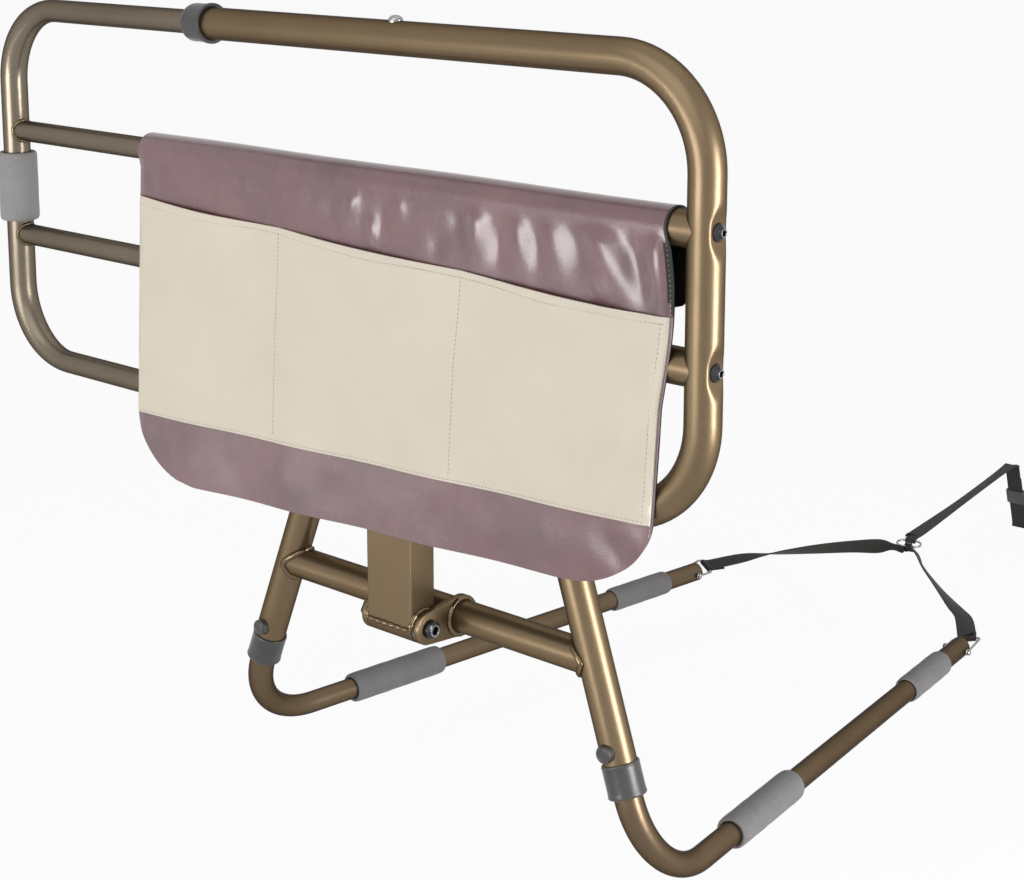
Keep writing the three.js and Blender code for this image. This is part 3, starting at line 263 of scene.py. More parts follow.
def turnedPiece(name, profile, origin, direction, finish, body, stands=(), sides=56,
                softness=0.5, hexagon=None, closed=True, crease=40):
    # A profile of (radius, height) turned about an axis. Where hexagon is 1 the ring is six-sided:
    # r cos(30) / cos(angle from the middle of its flat).
    outline = softened(profile, softness, closed)
    angles = np.linspace(0, 2 * pi, sides, endpoint=False)
    direction = unit(np.array(direction, float))
    helper = upward if abs(direction[2]) < 0.9 else rightward
    side = unit(np.cross(direction, helper))
    circle = np.cos(angles)[:, None] * side + np.sin(angles)[:, None] * np.cross(direction, side)
    radii = np.repeat(outline[:, :1], sides, 1)
    if hexagon is not None:
        share = np.repeat(np.array(hexagon, float), cornerSteps)
        if not closed:
            share = share[cornerSteps - 1:len(share) - cornerSteps + 1]
        flat = cos(pi / 6) / np.cos(np.mod(angles, pi / 3) - pi / 6)
        radii = radii * (1 - share[:, None] + share[:, None] * flat[None])
    heights = outline[:, 1, None, None] * direction
    points = np.array(origin, float) + heights + radii[..., None] * circle
    faces = gridFaces(len(outline), sides, closeRows=closed)
    return newPiece(name, points, faces, finish, body, stands, crease=crease)


# Heights above the head of the bright ring that paints a highlight round a socket
socketHighlightLift = {"low": 0.04, "high": 0.4}


def socketHighlightRing(inner, outer, height):
    # A painted highlight round a hexagon socket: a flat ring of bright plate lying on the black
    # head
    low, high = height + socketHighlightLift["low"], height + socketHighlightLift["high"]
    return [(inner, low), (outer, low), (outer, high), (inner, high)]


def drill(piece, start, direction, radius):
    # Takes a round bar out of a piece: a circle of r cos(a) sideways + r sin(a) across, from the
    # start along the direction
    sides = 48
    angles = np.linspace(0, 2 * pi, sides, endpoint=False)
    direction = unit(np.array(direction, float))
    side = unit(np.cross(direction, [0.31, 0.87, 0.38]))  # from any vector not along the bar
    circle = np.cos(angles)[:, None] * side + np.sin(angles)[:, None] * np.cross(direction, side)
    ends = [np.array(start, float) + circle * radius + direction * far for far in (0, holeLong)]
    faces = gridFaces(2, sides).tolist()
    faces += [list(range(sides))[::-1], list(range(sides, 2 * sides))]
    mesh = bpy.data.meshes.new("drill")
    mesh.from_pydata((np.concatenate(ends) * mm).tolist(), [], faces)
    bar = bmesh.new()
    bar.from_mesh(mesh)
    bmesh.ops.recalc_face_normals(bar, faces=bar.faces)
    bar.to_mesh(mesh)
    bar.free()
    tool = bpy.data.objects.new("drill", mesh)
    bpy.context.scene.collection.objects.link(tool)
    cut = piece.modifiers.new("hole", "BOOLEAN")
    cut.operation, cut.solver, cut.object = "DIFFERENCE", "EXACT", tool
    seen = piece.evaluated_get(bpy.context.evaluated_depsgraph_get())
    drilled = bpy.data.meshes.new_from_object(seen)
    piece.modifiers.remove(cut)
    old, piece.data = piece.data, drilled
    bpy.data.objects.remove(tool)
    bpy.data.meshes.remove(mesh)
    bpy.data.meshes.remove(old)
    drilled.name = piece.name


# Materials
def newMaterial(name, color, roughness, metallic=0.0, coat=0.0, coatRoughness=0.1, specular=0.5,
                sheen=0.0):
    # Plain values, which the finishes below vary over the surface
    material = bpy.data.materials.new(name)
    material.use_nodes = True
    tree = material.node_tree
    shader = tree.nodes["Principled BSDF"]
    shader.inputs["Base Color"].default_value = (*color, 1)
    shader.inputs["Roughness"].default_value = roughness
    shader.inputs["Metallic"].default_value = metallic
    shader.inputs["Coat Weight"].default_value = coat
    shader.inputs["Coat Roughness"].default_value = coatRoughness
    shader.inputs["Specular IOR Level"].default_value = specular
    shader.inputs["Sheen Weight"].default_value = sheen
    return material, tree, shader


def addNode(tree, kind, **settings):
    # Each setting goes to the socket of that name, or else to the node itself
    node = tree.nodes.new(kind)
    for key, value in settings.items():
        if key in node.inputs:
            node.inputs[key].default_value = value
        else:
            setattr(node, key, value)
    return node


def noise(tree, source, scale, detail=2.0, roughness=0.5):
    # Fractal noise at a place, from 0 to 1
    node = addNode(tree, "ShaderNodeTexNoise", Scale=scale, Detail=detail, Roughness=roughness)
    tree.links.new(source, node.inputs["Vector"])
    return node.outputs["Fac"]


def ranged(tree, source, low, high, fromLow=0.3, fromHigh=0.7):
    # low at fromLow and high at fromHigh, straight between
    node = addNode(tree, "ShaderNodeMapRange")
    limits = {"From Min": fromLow, "From Max": fromHigh, "To Min": low, "To Max": high}
    for key, value in limits.items():
        node.inputs[key].default_value = value
    tree.links.new(source, node.inputs["Value"])
    return node.outputs["Result"]


def mixColors(tree, share, first, second):
    # first where the share is 0 and second where it is 1; each is a colour or a node's output
    node = tree.nodes.new("ShaderNodeMix")
    node.data_type = "RGBA"
    tree.links.new(share, node.inputs["Factor"])
    for socket, value in zip((node.inputs[6], node.inputs[7]), (first, second)):
        if isinstance(value, tuple):
            socket.default_value = (*value, 1)
        else:
            tree.links.new(value, socket)
    return node.outputs[2]


def addBump(tree, shader, heights, strength, distance):
    # Each height pushes the surface that the one before it left
    normal = None
    for height, share in heights:
        node = addNode(tree, "ShaderNodeBump", Strength=strength * share, Distance=distance)
        tree.links.new(height, node.inputs["Height"])
        if normal is not None:
            tree.links.new(normal, node.inputs["Normal"])
        normal = node.outputs["Normal"]
    tree.links.new(normal, shader.inputs["Normal"])


def objectPlace(tree):
    # The place in the piece's own axes, in metres
    return tree.nodes.new("ShaderNodeTexCoord").outputs["Object"]


def wear(tree, shader, color, gloss=None):
    # Joins a worked-out colour, and a worked-out roughness, to the shader
    tree.links.new(color, shader.inputs["Base Color"])
    if gloss is not None:
        tree.links.new(gloss, shader.inputs["Roughness"])


def bronzePaint(name, light, dark, roughness):
    # Metallic powder coat: fine flakes lighter and darker, slow clouds of tone, orange-peel skin
    material, tree, shader = newMaterial(name, light, roughness, metallic=0.85, coat=0.05,
                                         specular=0.25)
    shader.inputs["Specular Tint"].default_value = (0.08, 0.07, 0.06, 1)
    place = objectPlace(tree)
    flakes = noise(tree, place, scale=1500, detail=1, roughness=0.4)
    clouds = noise(tree, place, scale=9, detail=3, roughness=0.55)
    skin = noise(tree, place, scale=420)
    base = mixColors(tree, ranged(tree, clouds, 0.0, 0.55), light, dark)
    speckled = mixColors(tree, ranged(tree, flakes, 0.0, 0.5, 0.35, 0.75), base, dark)
    wear(tree, shader, speckled, ranged(tree, clouds, roughness - 0.05, roughness + 0.07))
    addBump(tree, shader, [(skin, 0.25), (flakes, 0.12)], strength=0.35, distance=0.0004)
    return material


def mouldedPlastic(name, light, dark, roughness):
    # Fine spark-eroded grain with faint scuffs
    material, tree, shader = newMaterial(name, light, roughness, specular=0.5)
    place = objectPlace(tree)
    grain = noise(tree, place, scale=1400, detail=3, roughness=0.6)
    scuffs = noise(tree, place, scale=60, detail=5, roughness=0.7)
    tone = mixColors(tree, ranged(tree, scuffs, 0.0, 1.0, 0.35, 0.75), dark, light)
    wear(tree, shader, tone, ranged(tree, scuffs, roughness + 0.08, roughness - 0.06))
    addBump(tree, shader, [(grain, 1.0)], strength=0.3, distance=0.0003)
    return material


def foamSkin(name, light, dark):
    # Closed-cell foam: small pits between cells, and slow patches where the skin is denser
    material, tree, shader = newMaterial(name, light, 0.82, specular=0.3, sheen=0.15)
    place = objectPlace(tree)
    cells = addNode(tree, "ShaderNodeTexVoronoi", Scale=850.0)
    tree.links.new(place, cells.inputs["Vector"])
    pit = cells.outputs["Distance"]
    patches = noise(tree, place, scale=45, detail=4, roughness=0.6)
    fine = noise(tree, place, scale=2400)
    tone = mixColors(tree, ranged(tree, patches, 0.0, 1.0, 0.35, 0.7), dark, light)
    wear(tree, shader, mixColors(tree, ranged(tree, pit, 0.0, 1.0, 0.2, 0.7), tone, light))
    addBump(tree, shader, [(pit, 0.8), (fine, 0.5)], strength=0.5, distance=0.0004)
    return material


def vinyl(name, light, dark, roughness, grainStrength, coat, mottle):
    # Coated cloth with a printed hide grain: cells with rounded tops and fine creases between
    material, tree, shader = newMaterial(name, light, roughness, coat=coat, coatRoughness=0.22,
                                         specular=0.5)
    place = objectPlace(tree)
    warp = addNode(tree, "ShaderNodeTexNoise", Scale=260.0, Detail=2.0)
    tree.links.new(place, warp.inputs["Vector"])
    bent = addNode(tree, "ShaderNodeVectorMath", operation="MULTIPLY_ADD")
    bent.inputs[1].default_value = (0.0011, 0.0011, 0.0011)
    tree.links.new(warp.outputs["Color"], bent.inputs[0])
    tree.links.new(place, bent.inputs[2])
    cells = addNode(tree, "ShaderNodeTexVoronoi", feature="DISTANCE_TO_EDGE", Scale=620.0)
    tree.links.new(bent.outputs[0], cells.inputs["Vector"])
    creased = ranged(tree, cells.outputs["Distance"], 0.0, 1.0, 0.0, 0.16)
    patches = noise(tree, place, scale=14, detail=4, roughness=0.62)
    fine = noise(tree, place, scale=2200, detail=3)
    slow = noise(tree, place, scale=130, detail=3)
    tone = mixColors(tree, ranged(tree, patches, 0.0, mottle, 0.32, 0.68), light, dark)
    inked = mixColors(tree, ranged(tree, creased, 0.22, 0.0, 0.0, 0.8), tone, dark)
    wear(tree, shader, inked, ranged(tree, patches, roughness - 0.05, roughness + 0.08))
    heights = [(creased, 1.0), (fine, 0.5), (slow, 0.9)]
    addBump(tree, shader, heights, strength=grainStrength, distance=0.0003)
    return material


def wovenWebbing(name, light, dark):
    # Ribs across the strap and yarns along it, read from the strap's own length and width
    material, tree, shader = newMaterial(name, light, 0.78, specular=0.18, sheen=0.06)
    place = tree.nodes.new("ShaderNodeTexCoord").outputs["UV"]
    weave = addNode(tree, "ShaderNodeMath", operation="MULTIPLY")
    for socket, (direction, scale) in zip(weave.inputs, (("Y", 280.0), ("X", 340.0))):
        wave = addNode(tree, "ShaderNodeTexWave", wave_type="BANDS", bands_direction=direction,
                       Scale=scale)
        tree.links.new(place, wave.inputs["Vector"])
        tree.links.new(wave.outputs["Fac"], socket)
    fuzz = noise(tree, place, scale=900, detail=3, roughness=0.7)
    wear(tree, shader, mixColors(tree, ranged(tree, fuzz, 0.0, 1.0), dark, light))
    heights = [(weave.outputs[0], 1.0), (fuzz, 0.3)]
    addBump(tree, shader, heights, strength=0.45, distance=0.0003)
    return material


def plainMetal(name, light, roughness, dark):
    # Rolled or plated metal with faint streaks
    material, tree, shader = newMaterial(name, light, roughness, metallic=1.0)
    place = objectPlace(tree)
    streaks = noise(tree, place, scale=220, detail=4, roughness=0.65)
    tone = mixColors(tree, ranged(tree, streaks, 0.0, 0.6), light, dark)
    wear(tree, shader, tone, ranged(tree, streaks, roughness - 0.04, roughness + 0.08))
    addBump(tree, shader, [(noise(tree, place, scale=900), 0.4)], strength=0.2, distance=0.0002)
    return material


def thread(name, color):
    # Twisted sewing thread: fine slanted ply
    material, tree, shader = newMaterial(name, color, 0.55, specular=0.4, sheen=0.2)
    ply = noise(tree, objectPlace(tree), scale=2600)
    dark = tuple(0.72 * part for part in color)
    wear(tree, shader, mixColors(tree, ranged(tree, ply, 0.0, 1.0), dark, color))
    addBump(tree, shader, [(ply, 1.0)], strength=0.4, distance=0.0002)
    return material


framePaint = bronzePaint("Bronze powder coat", light=(0.200, 0.146, 0.088),
                         dark=(0.125, 0.088, 0.050), roughness=0.36)
slidePaint = bronzePaint("Dark bronze powder coat", light=(0.205, 0.172, 0.130),
                         dark=(0.120, 0.100, 0.076), roughness=0.32)
legPaint = bronzePaint("Brown bronze powder coat", light=(0.168, 0.122, 0.076),
                       dark=(0.100, 0.070, 0.043), roughness=0.32)
weldPaint = bronzePaint("Bronze over weld", light=(0.190, 0.140, 0.085),
                        dark=(0.105, 0.074, 0.041), roughness=0.20)
darkPlastic = mouldedPlastic("Dark nylon", light=(0.052, 0.050, 0.049),
                             dark=(0.034, 0.032, 0.032), roughness=0.34)
greyFoam = foamSkin("Grey foam", light=(0.170, 0.165, 0.166), dark=(0.118, 0.114, 0.115))
# The same grey foam painted lighter, as if lit: a painted-light copy that only the grip takes
paintedLitFoam = foamSkin("Grey foam painted lit", light=(0.275, 0.268, 0.269), dark=(0.200, 0.194, 0.195))
burgundyVinyl = vinyl("Burgundy vinyl", light=(0.195, 0.098, 0.107), dark=(0.095, 0.047, 0.053),
                      roughness=0.26, grainStrength=0.17, coat=0.6, mottle=0.85)
beigeVinyl = vinyl("Beige vinyl", light=(0.620, 0.558, 0.462), dark=(0.550, 0.490, 0.398),
                   roughness=0.50, grainStrength=0.16, coat=0.05, mottle=0.45)
blackLining = vinyl("Black backing", light=(0.010, 0.009, 0.009), dark=(0.005, 0.005, 0.005),
                    roughness=0.62, grainStrength=0.10, coat=0.0, mottle=0.5)
blackWebbing = wovenWebbing("Black webbing", light=(0.034, 0.033, 0.031),
                            dark=(0.018, 0.017, 0.016))
brightSteel = plainMetal("Nickel plate", light=(0.36, 0.355, 0.345), roughness=0.20,
                         dark=(0.16, 0.157, 0.15))
zincSteel = plainMetal("Zinc plate", light=(0.34, 0.34, 0.33), roughness=0.32,
                       dark=(0.20, 0.20, 0.195))
blackSteel = plainMetal("Black steel", light=(0.060, 0.060, 0.064), roughness=0.30,
                        dark=(0.030, 0.030, 0.032))
beigeThread = thread("Beige thread", (0.400, 0.330, 0.240))
greyThread = thread("Grey thread", (0.420, 0.400, 0.390))

finishOfSlot = {
    "frame_paint": framePaint, "slide_paint": slidePaint, "bright_steel": brightSteel,
    "plain_steel": zincSteel, "black_steel": blackSteel, "dark_plastic": darkPlastic,
    "grey_foam": greyFoam, "burgundy_vinyl": burgundyVinyl, "beige_vinyl": beigeVinyl,
    "black_webbing": blackWebbing,
}
finishOfNode = {
    "pivot_barrel": framePaint, "post": framePaint, "rest_clip": darkPlastic,
    "length_button": brightSteel,
}
slotOfNode = {row["node"]: row["material_slot"] for row in frame["record"]["subparts"]}
for name, node in nodes.items():
    node.data.materials.clear()
    node.data.materials.append(finishOfNode.get(name) or finishOfSlot[slotOfNode[name]])
print("materials ready")


# Legs: both tubes lie in one leaning plane with the arch over them
def legPoint(sign, height):
    # On a leg's axis: out by the lean and forward by the rake for each mm below the crossbar
    drop = legs["crossbarZ"] - height
    x = sign * (legs["crossbarHalf"] + legs["lean"] * drop)
    return np.array([x, -legs["rake"] * drop, height])


legFront = unit(np.array([0.0, -1.0, legs["rake"]]))
legStretch = hypot(1, legs["lean"], legs["rake"])
signs = {"left": -1, "right": 1}


def legDown(sign):
    # Out by the lean and forward by the rake for each mm down
    return unit(np.array([sign * legs["lean"], -legs["rake"], -1.0]))


legButton = {
    "radius": 7.25, "proud": 5.0, "bevel": 1.4, "foot": 6.0, "dishEdge": 0.62, "dishFoot": 0.55,
    "dish": 0.5, "crown": 0.3,
}
legCollar = {
    "wall": 1.5, "lap": 4.0, "rim": 0.9, "rimHeight": 5.0, "footBevel": 0.6, "rimMiddle": 1.4,
    "ridge": 0.35, "ridgeFoot": 2.6, "ridgeTop": 1.8, "mouthBevel": 0.2,
}


def drillForButton(tube, sign, clear):
    # The hole in the tube's front wall, with clear room round the button
    drill(tube, legPoint(sign, legs["buttonZ"]), legFront, legButton["radius"] + clear)


def buildArch():
    # One tube bent twice: up the left leg, over, and down the right leg
    ends = [legPoint(sign, legs["collarBottom"] + legCollar["lap"]) for sign in (-1, 1)]
    tops = [legPoint(sign, legs["archZ"]) for sign in (-1, 1)]
    line = bentLine([ends[0], tops[0], tops[1], ends[1]], legs["archBend"])
    grid = tubePoints(line, legFront, stock["frameRadius"], stock["frameWall"])
    arch = tubePiece("leg_arch_tube", grid, framePaint, "base", ["leg_arch"])
    for sign in signs.values():
        drillForButton(arch, sign, play)


def buildCrossbar():
    # A straight tube whose ends are coped to the round of the legs, with a bead round each
    half, z = legs["crossbarHalf"], legs["crossbarZ"]
    line = bentLine([[-half, 0, z], [half, 0, z]], spacing=20)
    grid = tubePoints(line, upward, stock["frameRadius"], stock["frameWall"])
    middle, reach = len(grid) // 2, stock["frameRadius"] + gap
    for sign, rows in ((-1, (0, len(grid) - 1)), (1, (middle - 1, middle))):
        for row in rows:
            grid[row] = cope(grid[row], sign * rightward, legPoint(sign, z), legDown(sign), reach)
    tubePiece("crossbar_tube", grid, framePaint, "base", ["crossbar"])
    for name, row, inward in (("left", 0, 0.6), ("right", middle - 1, -0.6)):
        buildWeld(f"crossbar_weld_{name}", grid[row] + inward * rightward, "crossbar", "base")


def lowerLegLine(sign):
    # The corner under the leg, and the way back: toed in and falling a little
    corner = legPoint(sign, legs["cornerZ"])
    back = unit(np.array([-sign * legs["toeIn"], 1.0, -legs["fall"]]))
    return corner, back


def buildLowerLegs():
    # Round one bend, in which the radius goes smoothly from the leg's to that of the back end
    for name, sign in signs.items():
        corner, back = lowerLegLine(sign)
        top = legPoint(sign, legs["lowerTop"])
        corners = [top, corner, corner + back * legs["lowerRun"]]
        points, tangents = bentLine(corners, legs["lowerBend"])
        first = unit(corner - top)
        turned = np.arccos(np.clip(tangents @ first, -1, 1)) / np.arccos(first @ back)
        thinning = stock["legRadius"] - stock["legBackRadius"]
        radii = stock["legRadius"] - thinning * smooth(turned)
        across = unit(np.cross(first, back))
        grid = tubePoints((points, tangents), across, radii, stock["legWall"], 40)
        lower = tubePiece(f"lower_leg_tube_{name}", grid, legPaint, "base",
                          [f"lower_leg_{name}"])
        drillForButton(lower, sign, 2 * play)


def buildLegCollars():
    # A nylon sleeve over the mouth of the big tube, with a thicker foot and a ridge round its top,
    # as a closed profile turned about the leg
    height = (legs["collarTop"] - legs["collarBottom"]) * legStretch
    outer = stock["frameRadius"] + legCollar["wall"]
    over, lap = stock["frameRadius"] + gap, legCollar["lap"] * legStretch - gap
    bore = stock["legRadius"] + play
    profile = [
        (bore, 0), (outer - legCollar["footBevel"], 0),
        (outer + legCollar["rim"] / 2, legCollar["rimMiddle"]), (outer, legCollar["rimHeight"]),
        (outer, height - legCollar["ridgeFoot"]),
        (outer + legCollar["ridge"], height - legCollar["ridgeTop"]),
        (outer - legCollar["mouthBevel"], height), (over, height), (over, lap), (bore, lap),
    ]
    for name, sign in signs.items():
        turnedPiece(f"leg_collar_ring_{name}", profile, legPoint(sign, legs["collarBottom"]),
                    -legDown(sign), darkPlastic, "base", [f"leg_collar_{name}"])


def buildLegButtons():
    # A round cap with a shallow dish in its top, turned about the tube's front
    foot, top = legButton["foot"], stock["frameRadius"] + legButton["proud"]
    radius, bevel = legButton["radius"], legButton["bevel"]
    profile = [
        (0, foot), (radius, foot), (radius, top - bevel), (radius - bevel, top),
        (radius * legButton["dishEdge"], top),
        (radius * legButton["dishFoot"], top - legButton["dish"]),
        (0, top - legButton["crown"]),
    ]
    for name, sign in signs.items():
        turnedPiece(f"leg_button_cap_{name}", profile, legPoint(sign, legs["buttonZ"]), legFront,
                    darkPlastic, f"leg_button_{name}", [f"leg_button_{name}"],
                    closed=False)


sleeves = {
    "near": {"start": 130.0, "long": 114.0, "radius": 14.5},
    "far": {"start": 497.0, "long": 88.0, "radius": 13.0},
}
grip = {"z": 480.0, "long": 68.0, "radius": 19.0}
foamCut = {"edge": 1.8, "lip": 0.3, "bevel": 0.5, "soft": 1.2, "stops": 15}


def foamTube(name, origin, direction, long, radius, bore, finish, body, stands):
    # A foam tube whose cut ends are drawn in a little, and whose skin is a little uneven: two sines
    # of the height
    edge, lip, bevel = foamCut["edge"], foamCut["lip"], foamCut["bevel"]
    heights = np.linspace(0, long, foamCut["stops"])[1:-1]
    uneven = 0.10 * np.sin(heights * 0.21) + 0.07 * np.sin(heights * 0.47 + 1)
    skin = [(radius + u, h) for u, h in zip(uneven, heights) if edge < h < long - edge]
    profile = [
        (bore, bevel), (radius - edge, 0), (radius - lip, edge), *skin, (radius - lip, long - edge),
        (radius - edge, long), (bore, long - bevel),
    ]
    piece = turnedPiece(name, profile, origin, direction, finish, body, stands,
                        softness=foamCut["soft"], crease=60)


def buildFoam():
    # Two sleeves along each lower leg, and the grip on the sliding tube's upright
    bore = stock["legBackRadius"] + gap
    for side, sign in signs.items():
        corner, back = lowerLegLine(sign)
        for place, sleeve in sleeves.items():
            foamTube(f"foam_tube_{place}_{side}", corner + back * sleeve["start"], back,
                     sleeve["long"], sleeve["radius"], bore, greyFoam, "base",
                     [f"foam_sleeve_{place}_{side}"])
    # The grip takes the lighter copy of the grey foam, which is painted light
    foamTube("foam_tube_grip", (rail["gripX"], rail["y"], grip["z"]), (0, 0, 1), grip["long"],
             grip["radius"], stock["gripRadius"] + gap, paintedLitFoam, "slider", ["grip_foam"])


buildArch()
buildCrossbar()
buildLowerLegs()
buildLegCollars()
buildLegButtons()
buildFoam()
print("legs built")

pivot = {"y": -40.0, "z": 196.0, "barrelHalf": 25.4}
ear = {"thick": 5.7, "wrap": 18.2, "edge": 0.9, "inner": 0.3, "steps": 32, "beadOut": 1.2}
washer = {"thick": 1.5, "radius": 13.5, "bore": 5.35}
bolt = {
    "shank": 5.0, "past": 9.0, "head": 8.0, "headHeight": 6.5, "shoulder": 2.2, "crown": 1.0,
    "crownHeight": 0.7, "flat": 2.4, "socket": 3.6, "deep": 4.0, "highlightInner": 3.9, "highlightOuter": 2.5,
}
nut = {"corner": 9.2, "thick": 7.0, "bore": 5.2, "bevel": 0.9, "bevelHeight": 0.8}
earInner = pivot["barrelHalf"] + gap + washer["thick"] + gap
earOuter = earInner + ear["thick"]


def buildEars():
    # A plate round two circles, drawn tangent to both, with its edges rounded over, and a bead
    # round the crossbar outside it
    reach, small, big, edge = -pivot["y"], stock["frameRadius"], ear["wrap"], ear["edge"]
    slope = asin((big - small) / reach)
    nearTurn = np.linspace(pi / 2 + slope, 1.5 * pi - slope, ear["steps"])
    farTurn = np.linspace(-pi / 2 - slope, pi / 2 + slope, ear["steps"])
    outline = np.concatenate([
        small * np.column_stack([np.cos(nearTurn), np.sin(nearTurn)]) - [reach, 0],
        big * np.column_stack([np.cos(farTurn), np.sin(farTurn)]),
    ])
    inward = unit(np.array([-reach / 2, 0]) - outline)
    soft = edge * ear["inner"]
    layers = [(0, edge), (soft, soft), (edge, 0), (ear["thick"] - edge, 0),
              (ear["thick"] - soft, soft), (ear["thick"], edge)]
    for name, sign in signs.items():
        grid = np.stack([
            np.column_stack([np.full(len(outline), sign * (earInner + depth)),
                             outline + inward * inset + [0, pivot["z"]]])
            for depth, inset in layers
        ])
        newPiece(f"ear_plate_{name}", grid, gridFaces(*grid.shape[:2]), framePaint, "base",
                 [f"ear_{name}"], caps=endCaps(grid))
        middle = np.array([[sign * earOuter, 0, pivot["z"]]])
        ring = rings(middle, rightward[None], upward, stock["frameRadius"] + ear["beadOut"], 60)[0]
        buildWeld(f"ear_weld_{name}", ring, "ear", "base")


def buildPivot():
    # A socket-head bolt, its hexagon nut and two washers, each a profile turned about the pivot,
    # and the barrel as a straight tube
    y, z, half = pivot["y"], pivot["z"], pivot["barrelHalf"]
    head, start = bolt["head"], earOuter + gap
    top, end, deep = start + bolt["headHeight"], -start - bolt["past"], bolt["deep"]
    profile = [
        (0, end), (bolt["shank"], end), (bolt["shank"], start), (head, start),
        (head, top - bolt["shoulder"]), (head - bolt["crown"], top - bolt["crownHeight"]),
        (head - bolt["flat"], top), (bolt["socket"], top), (bolt["socket"], top - deep),
        (0, top - deep),
    ]
    turnedPiece("pivot_bolt_body", profile, (0, y, z), (1, 0, 0), blackSteel, "base",
                ["pivot_bolt"], hexagon=[0] * 7 + [1, 1, 0], closed=False, sides=72, softness=0.35)
    # A bright ring on the bolt's head round its socket: a painted highlight
    rim = socketHighlightRing(bolt["highlightInner"], head - bolt["highlightOuter"], top)
    turnedPiece("pivot_bolt_highlight_ring", rim, (0, y, z), (1, 0, 0), brightSteel, "base",
                sides=48, softness=0.15)
    corner, thick, bevel = nut["corner"], nut["thick"], nut["bevel"]
    profile = [
        (nut["bore"], 0), (corner - bevel, 0), (corner, nut["bevelHeight"]),
        (corner, thick - nut["bevelHeight"]), (corner - bevel, thick), (nut["bore"], thick),
    ]
    turnedPiece("pivot_nut_body", profile, (-start, y, z), (-1, 0, 0), blackSteel, "base",
                ["pivot_nut"], hexagon=[0, 1, 1, 1, 1, 0], sides=72, softness=0.3)
    profile = [(washer["bore"], 0), (washer["radius"], 0), (washer["radius"], washer["thick"]),
               (washer["bore"], washer["thick"])]
    for name, sign in signs.items():
        turnedPiece(f"thrust_washer_disc_{name}", profile, (sign * (half + gap), y, z),
                    (sign, 0, 0), zincSteel, "base", [f"thrust_washer_{name}"],
                    softness=0.3)
    line = bentLine([[-half, y, z], [half, y, z]], spacing=6)
    grid = tubePoints(line, upward, stock["frameRadius"], stock["frameWall"], 56)
    tubePiece("pivot_barrel_tube", grid, framePaint, "rail", ["pivot_barrel"])


post = {"width": 50.8, "depth": 30.0, "wall": 2.0, "round": 1.6, "near": 24.0, "spacing": 2.0}


def roundedBox(width, depth, radius, steps=6):
    # The four straight sides of a box section joined by quarter circles
    turns = np.linspace(0, pi / 2, steps)
    corners = []
    for quarter, (sx, sy) in enumerate([(1, 1), (-1, 1), (-1, -1), (1, -1)]):
        angle = turns + quarter * pi / 2
        x = sx * (width / 2 - radius) + radius * np.cos(angle)
        corners.append(np.column_stack([x, sy * (depth / 2 - radius) + radius * np.sin(angle)]))
    return np.concatenate(corners)


def spread(outline, spacing):
    # The closed outline with points added so that none lie further apart than the spacing
    closed = np.concatenate([outline, outline[:1]])
    lengths = np.linalg.norm(np.diff(closed, axis=0), axis=1)
    total = np.concatenate([[0], np.cumsum(lengths)])
    stops = np.unique(np.concatenate([total[:-1], np.arange(0, total[-1], spacing)]))
    return np.column_stack([np.interp(stops, total, closed[:, k]) for k in range(2)])


def buildPost():
    # A box section whose two ends are hollowed to the round of the barrel and of the lowest tube
    wide, deep, y = post["width"], post["depth"], rail["y"]
    outer = spread(roundedBox(wide, deep, post["round"]), post["spacing"])
    scale = 1 - 2 * post["wall"] / np.array([wide, deep])
    low, high = pivot["z"], rail["bottomZ"]
    heights = [low, low + post["near"], (low + high) / 2, high - post["near"], high]
    walls = []
    for section in (outer, outer * scale):
        rows = [np.column_stack([section[:, 0], section[:, 1] + y, np.full(len(section), z)])
                for z in heights]
        for row, way in ((0, -1), (-1, 1)):
            axis = np.array([0, y, heights[row]])
            rows[row] = cope(rows[row], way * upward, axis, rightward, stock["frameRadius"] + gap)
        walls.append(np.stack(rows))
    grid = np.concatenate([walls[0], walls[1][::-1]])
    tubePiece("post_box", grid, framePaint, "rail", ["post"])
    for name, row in (("foot", 0), ("head", -1)):
        buildWeld(f"post_weld_{name}", walls[0][row], "post", "rail")


buildEars()
buildPivot()
buildPost()
print("pivot built")

dent = {"depth": 4.0, "reach": 24.0, "hold": 4.56, "softness": 0.45, "onset": 4.0}
screwHeights = {"lower": rail["lowerZ"], "upper": rail["upperZ"]}
railAcross = np.array([0.0, 1.0, 0.0])
lengthButton = {"x": 1.2, "radius": 6.2, "proud": 4.5, "travel": 170.0}


def buildOuterLoop():
    # The tube is pressed flat on its outer side round each screw: what stands beyond a plane goes
    # in by softness log(1 + exp(beyond / softness)), and the plane moves out away from the screw
    y, x = rail["y"], rail["uprightX"]
    corners = [[rail["openX"], y, rail["bottomZ"]], [x, y, rail["bottomZ"]], [x, y, rail["topZ"]],
               [rail["openX"], y, rail["topZ"]]]
    line = bentLine(corners, rail["bend"], spacing=3.0)
    grid = tubePoints(line, railAcross, stock["frameRadius"], stock["frameWall"], 64)
    near = np.minimum(*(np.abs(grid[..., 2] - z) for z in screwHeights.values()))
    fade = 1 - smooth((near - dent["hold"]) / (dent["reach"] - dent["hold"]))
    beyond = grid[..., 0] - x - stock["frameRadius"] + dent["depth"] * fade
    pressed = dent["softness"] * np.log1p(np.exp(beyond / dent["softness"]))
    grid[..., 0] -= pressed * np.clip(dent["onset"] * fade, 0, 1)
    loop = tubePiece("outer_loop_tube", grid, framePaint, "rail", ["outer_loop"])
    drill(loop, (lengthButton["x"], y, rail["topZ"]), upward, lengthButton["radius"] + play)


